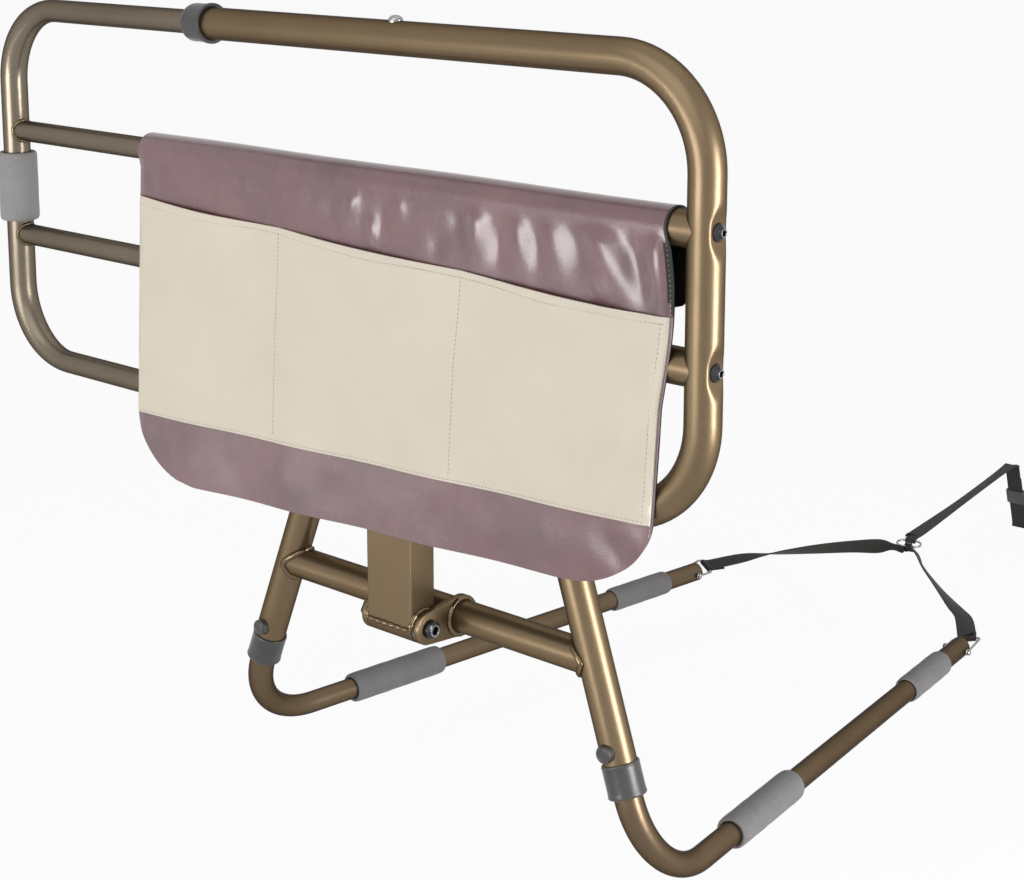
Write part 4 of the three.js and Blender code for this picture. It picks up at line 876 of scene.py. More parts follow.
def buildMidTubes():
    # Straight tubes whose right ends are coped to the round of the upright
    y, reach = rail["y"], stock["frameRadius"] + gap
    for name, z in screwHeights.items():
        upright = np.array([rail["uprightX"], y, z])
        line = bentLine([[rail["openX"], y, z], upright], spacing=20)
        grid = tubePoints(line, railAcross, stock["frameRadius"], stock["frameWall"], 48)
        for row in (len(grid) // 2 - 1, len(grid) // 2):
            grid[row] = cope(grid[row], rightward, upright, upward, reach)
        tubePiece(f"mid_tube_{name}_tube", grid, framePaint, "rail",
                  [f"mid_tube_{name}"])


def buildSlidingTubes():
    # The arms swell to the thicker upright round the bends, and two middle tubes are coped and
    # welded to the upright
    y, x, bend, end = rail["y"], rail["gripX"], rail["gripBend"], rail["slideEndX"]
    corners = [[end, y, rail["topZ"]], [x, y, rail["topZ"]], [x, y, rail["bottomZ"]],
               [end, y, rail["bottomZ"]]]
    points, tangents = bentLine(corners, bend, spacing=12)
    swell = smooth((x + bend - points[:, 0]) / bend)
    radii = stock["slideRadius"] + (stock["gripRadius"] - stock["slideRadius"]) * swell
    grid = tubePoints((points, tangents), railAcross, radii, stock["slideWall"])
    loop = tubePiece("slide_loop_tube", grid, slidePaint, "slider", ["slide_loop"])
    for shift in (0, lengthButton["travel"]):
        drill(loop, (lengthButton["x"] - shift, y, rail["topZ"]), upward,
              lengthButton["radius"] + 2 * play)
    for name, z in screwHeights.items():
        line = bentLine([[x, y, z], [end, y, z]], spacing=20)
        grid = tubePoints(line, railAcross, stock["midRadius"], stock["slideWall"], 40)
        for row in (0, len(grid) - 1):
            grid[row] = cope(grid[row], -rightward, np.array([x, y, z]), upward,
                             stock["gripRadius"] + gap)
        tubePiece(f"slide_mid_{name}_tube", grid, slidePaint, "slider",
                  [f"slide_mid_{name}"])
        buildWeld(f"slide_weld_{name}", grid[0] + 0.5 * rightward, "slide", "slider")


screw = {
    "shank": 3.0, "length": 38.0, "head": 7.0, "brim": 0.9, "thick": 3.0, "cone": 4.3, "nub": 3.9,
    "nubHeight": 1.7, "nubEdge": 0.6, "nubFlat": 3.4, "socket": 2.3, "deep": 2.4, "highlightInset": 0.2,
}


def buildScrews():
    # Cone head with a round nub that holds the hexagon socket, turned about the screw
    seat = rail["uprightX"] + stock["frameRadius"] - dent["depth"] + gap
    end, top = seat - screw["length"], seat + screw["thick"] + screw["nubHeight"]
    profile = [
        (0, end), (screw["shank"], end), (screw["shank"], seat), (screw["head"], seat),
        (screw["head"], seat + screw["brim"]), (screw["cone"], seat + screw["thick"]),
        (screw["nub"], top - screw["nubEdge"]), (screw["nubFlat"], top), (screw["socket"], top),
        (screw["socket"], top - screw["deep"]), (0, top - screw["deep"]),
    ]
    # A bright ring on each screw's nub round its socket: a painted highlight
    rim = socketHighlightRing(screw["socket"] + screw["highlightInset"], screw["nubFlat"], top)
    for name, z in screwHeights.items():
        turnedPiece(f"screw_body_{name}", profile, (0, rail["y"], z), (1, 0, 0), blackSteel, "rail",
                    [f"screw_{name}"], hexagon=[0] * 8 + [1, 1, 0], closed=False,
                    sides=60, softness=0.4)
        turnedPiece(f"screw_highlight_ring_{name}", rim, (0, rail["y"], z), (1, 0, 0), brightSteel, "rail",
                    sides=40, softness=0.15)


topCollar = {
    "left": 5.0, "long": 27.0, "wall": 2.65, "lip": 1.0, "lipLong": 5.0, "shoulder": 4.0,
    "bevel": 1.0, "lipRise": 0.4,
}
bush = {"long": 22.0, "flange": 3.0, "edge": 1.6}


def buildEndFittings():
    # Profiles turned about the tubes: a part that fills the tube's mouth, and one that covers its
    # end; the collar also wraps over the outside
    radius, bore = stock["frameRadius"], stock["frameRadius"] - stock["frameWall"] - gap
    outer, left, bevel = radius + topCollar["wall"], topCollar["left"], topCollar["bevel"]
    right, lip = topCollar["long"] - left, outer + topCollar["lip"]
    hole, over = stock["slideRadius"] + play, radius + gap
    profile = [
        (hole, -left), (outer - topCollar["shoulder"], -left), (outer - bevel, bevel - left),
        (outer, topCollar["shoulder"] - left), (outer, right - topCollar["lipLong"]),
        (lip, right - topCollar["lipLong"] + topCollar["lipRise"]), (lip, right), (over, right),
        (over, -gap), (bore, -gap), (bore, bush["long"]), (hole, bush["long"]),
    ]
    turnedPiece("top_collar_ring", profile, (rail["openX"], rail["y"], rail["topZ"]), (1, 0, 0),
                darkPlastic, "rail", ["top_collar"], softness=0.7)
    sliding = {"upper": (rail["upperZ"], stock["midRadius"]),
               "lower": (rail["lowerZ"], stock["midRadius"]),
               "bottom": (rail["bottomZ"], stock["slideRadius"])}
    flange = -bush["flange"] - gap
    for name, (z, inside) in sliding.items():
        profile = [
            (inside + play, flange), (radius - bush["edge"], flange),
            (radius, flange + bush["edge"]), (radius, -gap), (bore, -gap), (bore, bush["long"]),
            (inside + play, bush["long"]),
        ]
        turnedPiece(f"bush_ring_{name}", profile, (rail["openX"], rail["y"], z), (1, 0, 0),
                    darkPlastic, "rail", [f"bush_{name}"])


def buildLengthButton():
    # A pin with a domed head: r cos(a) wide at a height of the proud part times sin(a)
    radius, foot = lengthButton["radius"], stock["slideRadius"] + play
    shoulder, high = stock["frameRadius"] + gap, lengthButton["proud"] - gap
    dome = [(radius * cos(a), shoulder + high * np.sin(a)) for a in np.linspace(0, pi / 2, 9)[:-1]]
    profile = [(0, foot), (radius, foot), *dome, (0, shoulder + high)]
    turnedPiece("length_button_dome", profile, (lengthButton["x"], rail["y"], rail["topZ"]), upward,
                brightSteel, "length_button", ["length_button"], closed=False,
                softness=0.3)


buildOuterLoop()
buildMidTubes()
buildSlidingTubes()
buildScrews()
buildEndFittings()
buildLengthButton()
print("rail built")

pouch = {
    "left": -314.0, "right": 286.0, "shear": 14.0, "bow": 9.0, "bowShare": 0.455, "dropLeft": 304.0,
    "dropRight": 284.0, "cornerWide": 84.0, "cornerHigh": 62.0, "flap": 65.0, "flapCorner": 16.0,
    "thick": 1.4, "folds": 4, "foldDepth": 3.0, "lean": 2.11, "curl": 9.0, "curlDepth": 3.2,
    "columns": 250, "flapRows": 24, "wrapRows": 16, "frontRows": 118, "turnedEdge": 3.0,
    "turnedFoot": 505.0, "start": 16.0, "settle": 8.0, "sag": 0.35, "curlFade": 0.7,
}
# Each wrinkle: middle x and z, turn from upright in degrees, half length, half width, height
wrinkles = [
    (-36, 552, -14, 34, 8, 2.79), (-12, 533, -4, 17, 5.1, 2.05), (19, 560, 2, 25, 6.5, 1.67),
    (103, 548, 0, 43, 8.7, 3.17), (147, 545, 8, 43, 9.4, 2.42), (181, 545, 14, 43, 11.6, 1.86),
    (232, 545, 34, 66, 15.9, 4.84), (279, 544, 4, 48, 9.4, 4.1), (228, 520, 42, 26, 8.7, 2.23),
    (-170, 560, 8, 31, 10.2, 1.12), (-228, 556, -6, 34, 13, 0.94), (60, 530, -10, 20, 8.7, -1.33),
    (125, 540, 4, 29, 8, -1.83), (165, 545, 10, 29, 8.7, -1.49), (258, 540, 18, 37, 9.4, -2.66),
    (205, 552, 26, 29, 10.2, -1.83), (-60, 545, -8, 26, 11.6, -1.16), (0, 548, 0, 24, 8.7, -1.16),
    (-282, 545, 4, 38, 11.6, 1.12), (-100, 552, 6, 34, 11.6, 0.94), (82, 556, -3, 26, 8.7, -1.33),
    (225, 310, 20, 29, 14.4, 1.47), (262, 330, 38, 24, 11.2, 1.36), (245, 318, 30, 24, 8, -1.36),
    (188, 312, 6, 26, 12.8, 0.94), (120, 305, 0, 24, 16, 0.84), (60, 306, -4, 24, 16, -0.73),
    (0, 302, 3, 24, 14.4, 0.73), (-60, 300, -3, 24, 17.6, -0.63), (-120, 298, 2, 22, 16, 0.73),
    (-190, 294, -2, 22, 19.2, -0.73), (-250, 292, -12, 22, 16, 0.94),
    (-295, 310, -24, 18, 11.2, 0.84),
]


def fallShare(z):
    # How far down the hanging front a height lies, from 0 at the tube to 1 at the mean foot
    return (rail["upperZ"] - z) / (0.5 * (pouch["dropLeft"] + pouch["dropRight"]))


def edgesAt(z):
    # x of the left and right edges of the hanging front at a height, before the corners round off:
    # sheared to the left as it falls, with a sine bow in the right edge
    share = fallShare(z)
    bow = pouch["bow"] * np.sin(pi * np.clip(share / pouch["bowShare"], 0, 1))
    left = pouch["left"] - pouch["shear"] * share
    right = pouch["right"] - pouch["shear"] * share ** 2 + bow * (1 - np.clip(share, 0, 1))
    return left, right


def creases(x, z, table):
    # The sum of all wrinkles: height exp(-(across/width)^2) cos^2 along the length, faded at its
    # ends
    total = np.zeros(np.broadcast(x, z).shape)
    for middleX, middleZ, turn, long, wide, high in table:
        dx, dz = x - middleX, z - middleZ
        along = dz * cos(radians(turn)) - dx * np.sin(radians(turn))
        across = dx * cos(radians(turn)) + dz * np.sin(radians(turn))
        ends = np.cos(pi / 2 * np.clip(along / long, -1, 1)) ** 2
        total += high * np.exp(-(across / wide) ** 2) * ends
    return total


def frontDepth(x, z):
    # How far the hanging front's inner face stands before the tube's axis: the tube's radius, a
    # lean, cosine folds that deepen downwards, the wrinkles, and less where its side edges curl in
    share = fallShare(z)
    left, right = edgesAt(z)
    wave = (1 - np.cos(2 * pi * pouch["folds"] * (x - left) / (right - left))) / 2
    depth = stock["frameRadius"] + gap + share * (pouch["lean"] + pouch["foldDepth"] * wave)
    start = smooth((rail["upperZ"] - z) / pouch["start"])
    atEdge = 1 - smooth(np.minimum(x - left, right - x) / pouch["curl"])
    curl = pouch["curlDepth"] * atEdge * (1 - pouch["curlFade"] * share)
    return depth + start * (creases(x, z, wrinkles) - curl)


def frontNormal(x, z):
    # Out of the front: from the slopes of its depth along x and z
    step = 0.5
    slopeX = (frontDepth(x + step, z) - frontDepth(x - step, z)) / (2 * step)
    slopeZ = (frontDepth(x, z + step) - frontDepth(x, z - step)) / (2 * step)
    return unit(np.stack([-slopeX, -np.ones_like(slopeX), -slopeZ], -1))


def coverGrid(lift):
    # Flap up the back, half round the tube and down the front, as one grid of points. Its corners
    # are quarter ellipses, inset by their width times 1 - sqrt(1 - s^2), and the flap ripples by
    # two sines of x.
    across = np.linspace(0, 1, pouch["columns"] + 1)[None]
    radius = stock["frameRadius"] + gap + lift
    width = pouch["right"] - pouch["left"]
    share = np.linspace(1, 0, pouch["flapRows"], endpoint=False)[:, None]
    near = np.clip(1 - (1 - share) * pouch["flap"] / pouch["flapCorner"], 0, 1)
    inset = pouch["flapCorner"] * (1 - np.sqrt(1 - near ** 2))
    x = pouch["left"] + inset + across * (width - 2 * inset)
    ripple = share * (1.2 * np.sin(x / 31) + 0.7 * np.sin(x / 13 + 1))
    flap = np.stack([x, radius + ripple, -pouch["flap"] * share + 0 * x], -1)
    angle = np.linspace(0, pi, pouch["wrapRows"], endpoint=False)[:, None]
    x = pouch["left"] + across * width + 0 * angle
    out = radius + pouch["sag"] * np.sin(x / 47) * np.sin(angle)
    wrap = np.stack([x, out * np.cos(angle), out * np.sin(angle)], -1)
    share = np.linspace(0, 1, pouch["frontRows"])[:, None] ** 0.92  # rows a little closer on top
    drop = (pouch["dropLeft"] + (pouch["dropRight"] - pouch["dropLeft"]) * across) * share
    z = rail["upperZ"] - drop
    left, right = edgesAt(z)
    corner = np.clip((drop - drop[-1:] + pouch["cornerHigh"]) / pouch["cornerHigh"], 0, 1)
    inset = pouch["cornerWide"] * (1 - np.sqrt(1 - corner ** 2))
    x = left + inset + across * (right - left - 2 * inset)
    settled = smooth(drop / pouch["settle"])
    front = np.stack([x, -frontDepth(x, z), -drop + 0 * x], -1)
    front += lift * frontNormal(x, z) * settled[..., None]
    front[..., 1] -= lift * (1 - settled)
    return np.concatenate([flap, wrap, front]) + np.array([0, rail["y"], rail["upperZ"]])


def sheetMesh(outer, inner):
    # Two grids of points closed round their rim; the count says how many faces are outer ones
    rows, columns = outer.shape[:2]
    under = rows * columns
    outerFaces = gridFaces(rows, columns, closeColumns=False)
    innerFaces = outerFaces[:, ::-1] + under
    index = np.arange(under).reshape(rows, columns)
    rim = np.concatenate([index[0, :-1], index[:-1, -1], index[-1, :0:-1], index[:0:-1, 0]])
    following = np.roll(rim, -1)
    rimFaces = np.stack([rim, rim + under, following + under, following], -1)
    points = np.concatenate([outer.reshape(-1, 3), inner.reshape(-1, 3)])
    return points, np.concatenate([outerFaces, innerFaces, rimFaces]), len(outerFaces)


def buildCover():
    # The inner side is black, and its edge turns over onto the outer side at the right
    outer = coverGrid(pouch["thick"])
    points, faces, count = sheetMesh(outer, coverGrid(0.0))
    x, _, z = outer.reshape(-1, 3)[faces[:count]].mean(1).T
    turned = (x > edgesAt(z)[1] - pouch["turnedEdge"]) & (z > pouch["turnedFoot"])
    black = np.concatenate([np.flatnonzero(turned), np.arange(count, len(faces))])
    return newPiece("pouch_cover_sheet", points, faces, burgundyVinyl, "rail",
                    ["pouch_cover"], crease=70, second=(blackLining, black))


pocket = {
    "topLeft": 40.0, "topRight": 64.0, "footLeft": 246.0, "footRight": 224.0, "slack": 4.0,
    "seams": (0, 0.315, 0.665, 1), "sag": 1.6, "rows": 84, "columns": 240, "inset": 2.0,
    "hem": 6.2, "edgeHem": 8.0, "footSeam": 2.2, "off": 0.35, "pocketWide": 200.0,
    "hemRise": 0.5, "soft": 0.5, "footSlack": 0.8, "footUp": 14.0, "footBand": 12.0,
}
# Sewn grooves of the pocket panel: depth and half width
grooves = {"hem": (0.45, 1.0), "edge": (0.7, 1.1), "foot": (0.6, 1.1), "seam": (0.7, 1.6)}
# Soft folds of the pocket's lower right, as the wrinkles above
pocketFolds = [
    (250, 402, -24, 48, 10, 1.8), (264, 372, -34, 36, 7, -1.2), (232, 372, -18, 40, 9, 1.2),
    (276, 446, 4, 52, 6, 1.0), (205, 380, -12, 40, 12, 0.8), (-296, 500, 6, 40, 9, 0.8),
    (-60, 500, 2, 26, 14, 0.6), (140, 492, -6, 26, 14, 0.6), (-220, 500, 4, 26, 16, 0.6),
]


def pocketShares(across):
    # The share of the way across the pocket that a place lies in, from 0 at one seam to 1 at the
    # next
    seams = np.array(pocket["seams"])
    which = np.clip(np.searchsorted(seams, across, side="right") - 1, 0, len(seams) - 2)
    return (across - seams[which]) / (seams[which + 1] - seams[which])


def pocketPlace(across, down):
    # x and z of a place on the pocket panel; its mouths sag between the seams
    inPocket = pocketShares(across)
    top = pocket["topLeft"] + (pocket["topRight"] - pocket["topLeft"]) * across
    top = top + pocket["sag"] * np.sin(pi * inPocket)
    foot = pocket["footLeft"] + (pocket["footRight"] - pocket["footLeft"]) * across
    z = rail["upperZ"] - (top + (foot - top) * down)
    left, right = edgesAt(z)
    return left + pocket["inset"] + across * (right - left - 2 * pocket["inset"]), z


def groove(kind, distance):
    # A sewn line: depth exp(-(distance / half width)^2)
    depth, half = grooves[kind]
    return depth * np.exp(-(distance / half) ** 2)


def pocketDepth(across, down, x, z):
    # Over the cover's front: the mouths stand open by a sine across each pocket that dies out
    # downwards, the hem is a double layer, every sewn line is drawn down into a groove, and soft
    # waves, slack at the foot and folds are added
    inPocket = pocketShares(across)
    opened = pocket["slack"] * np.sin(pi * inPocket) ** 1.5 * (1 - down * down)
    underTop = pocketPlace(across, 0 * down)[1] - z
    overFoot = z - pocketPlace(across, 0 * down + 1)[1]
    hem = pocket["hemRise"] * (1 - smooth((underTop - pocket["hem"] + 1) / 2))
    toSeam = np.minimum(np.abs(inPocket), np.abs(1 - inPocket)) * pocket["pocketWide"]
    sewn = (groove("hem", underTop - pocket["hem"]) + groove("seam", toSeam)
            + groove("edge", edgesAt(z)[1] - x - pocket["edgeHem"])
            + groove("foot", overFoot - pocket["footSeam"]))
    soft = pocket["soft"] * np.sin(x / 37 + z / 60) * np.sin(z / 29 - x / 80)
    band = np.exp(-((overFoot - pocket["footUp"]) / pocket["footBand"]) ** 2)
    slackFoot = pocket["footSlack"] * band * np.sin(x / 23) ** 2
    return opened + hem - sewn + soft * (1 - 0.5 * down) + slackFoot + creases(x, z, pocketFolds)


def onPocket(across, down, lift):
    # A place on the panel's inner face, lifted off it by a distance
    x, z = pocketPlace(across, down)
    depth = frontDepth(x, z) + pouch["thick"] + pocket["off"]
    depth = depth + np.maximum(pocketDepth(across, down, x, z), 0) + lift
    return np.stack([x, rail["y"] - depth, z], -1)


def pocketGrid(lift):
    # onPocket at the corners of an even grid of cells
    across = np.linspace(0, 1, pocket["columns"] + 1)[None]
    down = np.linspace(0, 1, pocket["rows"] + 1)[:, None]
    return onPocket(*np.broadcast_arrays(across, down), lift)


def buildPocket():
    # The panel's inner and outer face, a thickness apart
    points, faces, _ = sheetMesh(pocketGrid(pouch["thick"]), pocketGrid(0.0))
    return newPiece("pouch_pocket_sheet", points, faces, beigeVinyl, "rail",
                    ["pouch_pocket"], crease=70)


stitch = {
    "long": 2.7, "pitch": 3.7, "radius": 0.28, "sides": 6, "rings": 5, "endShare": 0.25,
    "proud": 0.55, "dip": 0.35,
}


def readOff(stops, lengths, rows):
    # The rows read off at the stops, straight between
    return np.column_stack([np.interp(stops, lengths, rows[:, k]) for k in range(3)])


def lengthsOf(points):
    # The length of the line up to each of its points
    return np.concatenate([[0], np.cumsum(np.linalg.norm(np.diff(points, axis=0), axis=1))])


edgeSeam = {"top": 4.0, "foot": 236.0, "leftInset": 2.0, "rightInset": 2.2}


def stitches(name, lines, finish):
    # Short threads laid end to end along each line: each is a spindle that dips at both ends, of
    # radius r (1/4 + 3/4 sqrt(1 - t^2)) with its middle at a height less t^2
    places, ways, outward = [], [], []
    for points, normals in lines:
        lengths = lengthsOf(points)
        stops = np.arange(stitch["pitch"], lengths[-1] - stitch["pitch"] / 2, stitch["pitch"])
        at = readOff(stops, lengths, points)
        places.append(at)
        ways.append(unit(readOff(stops + 1, lengths, points) - at))
        outward.append(unit(readOff(stops, lengths, normals)))
    everything = (places, ways, outward)
    places, ways, outward = (np.concatenate(rows)[:, None, None] for rows in everything)
    sideways = np.cross(ways, outward)
    t = np.linspace(-1, 1, stitch["rings"])[None, :, None, None]
    angle = np.linspace(0, 2 * pi, stitch["sides"], endpoint=False)[None, None, :, None]
    full = np.sqrt(np.maximum(0, 1 - t ** 2))
    swell = stitch["radius"] * (stitch["endShare"] + (1 - stitch["endShare"]) * full)
    lift = stitch["radius"] * stitch["proud"] - stitch["dip"] * t ** 2
    points = (places + ways * t * stitch["long"] / 2 + outward * (lift + swell * np.sin(angle))
              + sideways * swell * np.cos(angle))
    count, ringNumber, sides = points.shape[:3]
    perStitch = ringNumber * sides
    offsets = (np.arange(count) * perStitch)[:, None, None]
    faces = (gridFaces(ringNumber, sides)[None] + offsets).reshape(-1, 4)
    ends = np.stack([np.arange(sides)[::-1], np.arange(perStitch - sides, perStitch)])
    caps = (ends[None] + offsets).reshape(-1, sides)
    return newPiece(name, points, faces, finish, "rail", caps=list(caps), crease=80)


def buildStitching():
    # Sewn lines of the pocket panel, a little uneven at its hem, and of the cover's two edges
    def sewn(across, down):
        # Places on the panel's outer face, and the way out of the front there
        return onPocket(across, down, pouch["thick"]), frontNormal(*pocketPlace(across, down))

    sweep, down = np.linspace(0.004, 0.996, 260), np.linspace(0.012, 0.985, 120)
    tallLeft = pocket["footLeft"] - pocket["topLeft"]
    tallRight = pocket["footRight"] - pocket["topRight"]
    tall = tallLeft + (tallRight - tallLeft) * sweep
    wobble = 0.9 * np.sin(sweep * 17) + 0.5 * np.sin(sweep * 41)
    inside = pouch["right"] - pouch["left"] - 2 * pocket["inset"]
    lines = [sewn(sweep, (pocket["hem"] + wobble) / tall),
             sewn(sweep, 1 - pocket["footSeam"] / tall)]
    for share in (*pocket["seams"][1:-1], 1 - (pocket["edgeHem"] - pocket["inset"]) / inside):
        lines.append(sewn(np.full_like(down, share), down))
    stitches("pocket_stitching", lines, beigeThread)

    z = rail["upperZ"] - np.linspace(edgeSeam["top"], edgeSeam["foot"], 120)
    left, right = edgesAt(z)
    edgeLines = []
    for x in (left + edgeSeam["leftInset"], right - edgeSeam["rightInset"]):
        depth = frontDepth(x, z) + pouch["thick"]
        edgeLines.append((np.column_stack([x, rail["y"] - depth, z]), frontNormal(x, z)))
    stitches("cover_stitching", edgeLines, greyThread)


cover = buildCover()
pocketPanel = buildPocket()
buildStitching()
print("pouch built")

wireRing = {
    "rivetInset": 10.0, "wire": 1.25, "bend": 3.0, "innerOut": 3.5, "innerBack": 19.6,
    "barAcross": 26.0, "barBack": 14.0, "barUp": 5.6, "eye": 3.55, "eyeBore": 1.85,
    "eyeRadius": 3.4, "eyeHalf": 1.2, "start": 2.6,
}
rivet = {"radius": 1.5, "head": 3.0, "headHeight": 1.8, "brim": 0.4}
eyeOffset = (stock["legBackRadius"] / cos(atan(legs["toeIn"])) + legs["toeIn"] * wireRing["eye"]
             + gap + wireRing["wire"])
rivetRun = legs["lowerRun"] - wireRing["rivetInset"]
rivetPlace = {
    name: lowerLegLine(sign)[0] + lowerLegLine(sign)[1] * rivetRun for name, sign in signs.items()
}
rivetMiddle = (rivetPlace["left"] + rivetPlace["right"]) / 2


def buildWireRing(name, sign):
    # Bent wire from one eye round the bar to the other eye; each eye is a small coil round its
    # rivet
    inner = np.array([-sign * (eyeOffset + wireRing["innerOut"]), wireRing["innerBack"], 0])
    outer = inner + [sign * wireRing["barAcross"], wireRing["barBack"], wireRing["barUp"]]
    inside, outside = np.array([-sign * eyeOffset, 0, 0]), np.array([sign * eyeOffset, 0, 0])
    first = inside + unit(inner - inside) * wireRing["start"]
    last = outside + unit(outer - outside) * wireRing["start"]
    points, tangents = bentLine([first, inner, outer, last], wireRing["bend"], spacing=4,
                                bendStep=8)
    across = unit(np.cross(inner - inside, outer - inner))
    wire = rings(points + rivetPlace[name], tangents, across, wireRing["wire"], 16)
    newPiece(f"wire_ring_bow_{name}", wire, gridFaces(*wire.shape[:2]), brightSteel, "harness",
             [f"wire_ring_{name}"], caps=endCaps(wire))
    half, bore, radius = wireRing["eyeHalf"], wireRing["eyeBore"], wireRing["eyeRadius"]
    coil = [(bore, -half), (radius, -half), (radius, half), (bore, half)]
    for place, middle in (("inner", inside), ("outer", outside)):
        turnedPiece(f"wire_eye_{place}_{name}", coil, rivetPlace[name] + middle, (1, 0, 0),
                    brightSteel, "harness", sides=28, softness=0.9)
    head, high, brim = rivet["head"], rivet["headHeight"], rivet["brim"]
    lean = wireRing["innerOut"] * head / wireRing["innerBack"]
    reach = eyeOffset + wireRing["wire"] + lean + gap
    right = [(rivet["radius"], reach), (head, reach), (head, reach + brim),
             (head * 0.6, reach + high * 0.8), (0, reach + high)]
    pin = [(out, -along) for out, along in right[::-1]] + right
    turnedPiece(f"ring_rivet_pin_{name}", pin, rivetPlace[name], (1, 0, 0), brightSteel, "base",
                [f"ring_rivet_{name}"], closed=False, sides=28, softness=0.6)
    axis = unit(outer - inner)
    pull = unit(np.array([-sign * axis[1], sign * axis[0], 0]))
    up = unit(np.cross(axis, pull) * sign)
    middle = (inner + outer) / 2 + rivetPlace[name] - rivetMiddle
    return {"middle": middle, "axis": axis, "pull": pull, "up": up}


web = {
    "width": 20.0, "thick": 1.4, "layer": 0.5, "tail": 20.0, "ovalRound": 8.0,
    "ovalStraight": 12.0, "ovalWire": 1.3, "bunched": 8.0, "entering": 11.0, "mainLoop": 12.0,
    "endLoop": 1.6, "endTail": 78.0, "soft": 0.55, "swell": 0.35,
}
oval = {"centre": np.array([-6.0, 209.0, 20.0]), "long": unit(np.array([1.0, 0.326, 0.0]))}
oval["pull"] = unit(np.array([-oval["long"][1], oval["long"][0], 0.14]))
oval["up"] = np.cross(oval["long"], oval["pull"])
# Routes of the webbing from the middle between the rivets, and its twist in degrees at each point
bridleRoutes = {
    "left": [(-147, 67, 7), (-131, 84.5, 10), (-115, 102, 12), (-85, 133, 15), (-55, 163, 17),
             (-32, 185, 17), (-20, 195, 16.5)],
    "right": [(144, 68, 7), (126, 83, 9), (105, 101, 11), (82, 121, 13), (55, 145, 16),
              (30, 170, 19), (12, 190, 21)],
}
bridleTwists = {
    "left": (8, -12, -31, -51, -63, -72, -60), "right": (-6, -14, -28, -40, -48, -60, -45),
}
# Round the oval's wire: shares of the bunched width along it, and of the clearance out and up
ovalPass = [(-0.31, -1.5, -1.2), (-0.19, 0.6, -1.05), (-0.06, 1.25, -0.15), (0.06, 1.1, 0.7),
            (0.19, 0, 1.2), (0.31, -1.6, 0.5)]
mainRoute = [(-16, 245, 21), (-33, 380, 22), (-50, 500, 22.5), (-58, 558, 23), (-59.3, 567.6, 22.4),
             (-60, 572.5, 20.4), (-60.3, 574.7, 15.7)]
mainTwists = (6, 19, 20, 14, 8, 3, 0)
mainDrop = {
    "top": np.array([-60.4, 577.0, 12.0]), "foot": np.array([-62.0, 607.0, -72.0]), "twist": 0.05,
}


def inOval(along, pull, up):
    # The oval's centre plus a way along its long side, one out of the loop and one upwards
    return oval["centre"] + along * oval["long"] + pull * oval["pull"] + up * oval["up"]


def buildOvalRing():
    # Two half circles and two straight sides, with a round section
    turns = np.concatenate([np.linspace(-pi / 2, pi / 2, 18), np.linspace(pi / 2, 1.5 * pi, 18)])
    shift = np.repeat([web["ovalStraight"] / 2, -web["ovalStraight"] / 2], 18)
    angle = np.linspace(0, 2 * pi, 16, endpoint=False)
    out = web["ovalRound"] + web["ovalWire"] * np.cos(angle)[None]
    along = shift[:, None] + out * np.cos(turns)[:, None]
    pull = out * np.sin(turns)[:, None]
    up = web["ovalWire"] * np.sin(angle)[None] + 0 * pull
    points = inOval(along[..., None], pull[..., None], up[..., None]) + rivetMiddle
    tubePiece("oval_ring_wire", points, brightSteel, "harness", ["oval_ring"])


def loopRound(place, radius, tail, width):
    # Round a bar: a short end below, half a turn, and the strap that goes on above it
    turn = radius + gap + web["thick"] / 2
    close = (web["thick"] + web["layer"]) / 2
    at = lambda along, height: place["middle"] + along * place["pull"] + height * place["up"]
    angles = -pi / 2 - pi * np.arange(6) / 5
    points = [at(tail, -close), at(tail / 2, -close), at(2 * turn, -close)]
    points += [at(turn * np.cos(a), turn * np.sin(a)) for a in angles]
    points += [at(2 * turn, close), at(tail / 2, close)]
    return [(*point, *place["axis"], width) for point in points]


def tilted(level, twist):
    # The strap's direction across: level cos(twist) + upward sin(twist)
    return level * cos(radians(twist)) + np.array([0, 0, np.sin(radians(twist))])


def twisted(route, twists, sign):
    # Stations along a bridle route, drawn together at its last one
    route = np.array(route, float)
    run = route[-1] - route[0]
    level = unit(np.array([sign * run[1], abs(run[0]), 0]))
    widths = [web["width"]] * (len(route) - 1) + [web["entering"]]
    return [(*point, *tilted(level, twist), width)
            for point, twist, width in zip(route, twists, widths)]


def ribbon(name, stations, stands, steps=7):
    # A flat section with rounded edges along a smooth line through the stations; where the strap
    # is drawn together its cloth folds, so the section gets thicker as it gets narrower
    fine = through(stations, steps)
    points, across, width = fine[:, :3], fine[:, 3:6], fine[:, 6:]
    ahead = unit(np.gradient(points, axis=0))
    wide = unit(across - (across * ahead).sum(1, keepdims=True) * ahead)
    thin = np.cross(ahead, wide)
    folded = np.clip((web["width"] - width) / web["width"], 0, 1)
    thick = web["thick"] * (1 + web["swell"] * folded)
    corner = np.linspace(0, pi / 2, 4)
    angle = np.concatenate([corner + k * pi / 2 for k in range(4)])
    sx, sy = np.repeat([1, -1, -1, 1], 4), np.repeat([1, 1, -1, -1], 4)
    u = sx * (width / 2 - web["soft"]) + web["soft"] * np.cos(angle)
    v = sy * (thick / 2 - web["soft"]) + web["soft"] * np.sin(angle)
    grid = points[:, None] + u[..., None] * wide[:, None] + v[..., None] * thin[:, None]
    grid = grid + rivetMiddle
    uv = np.stack([u, np.broadcast_to(lengthsOf(points)[:, None], u.shape)], -1).reshape(-1, 2)
    return newPiece(name, grid, gridFaces(*grid.shape[:2]), blackWebbing, "harness",
                    stands, caps=endCaps(grid), uv=uv, crease=60)


buckle = {
    "up": 48.0, "long": 20.0, "rim": 2.6, "face": 1.5, "slack": 0.35, "edge": 0.8, "round": 1.8,
    "innerRound": 0.5, "endScale": 0.94,
}


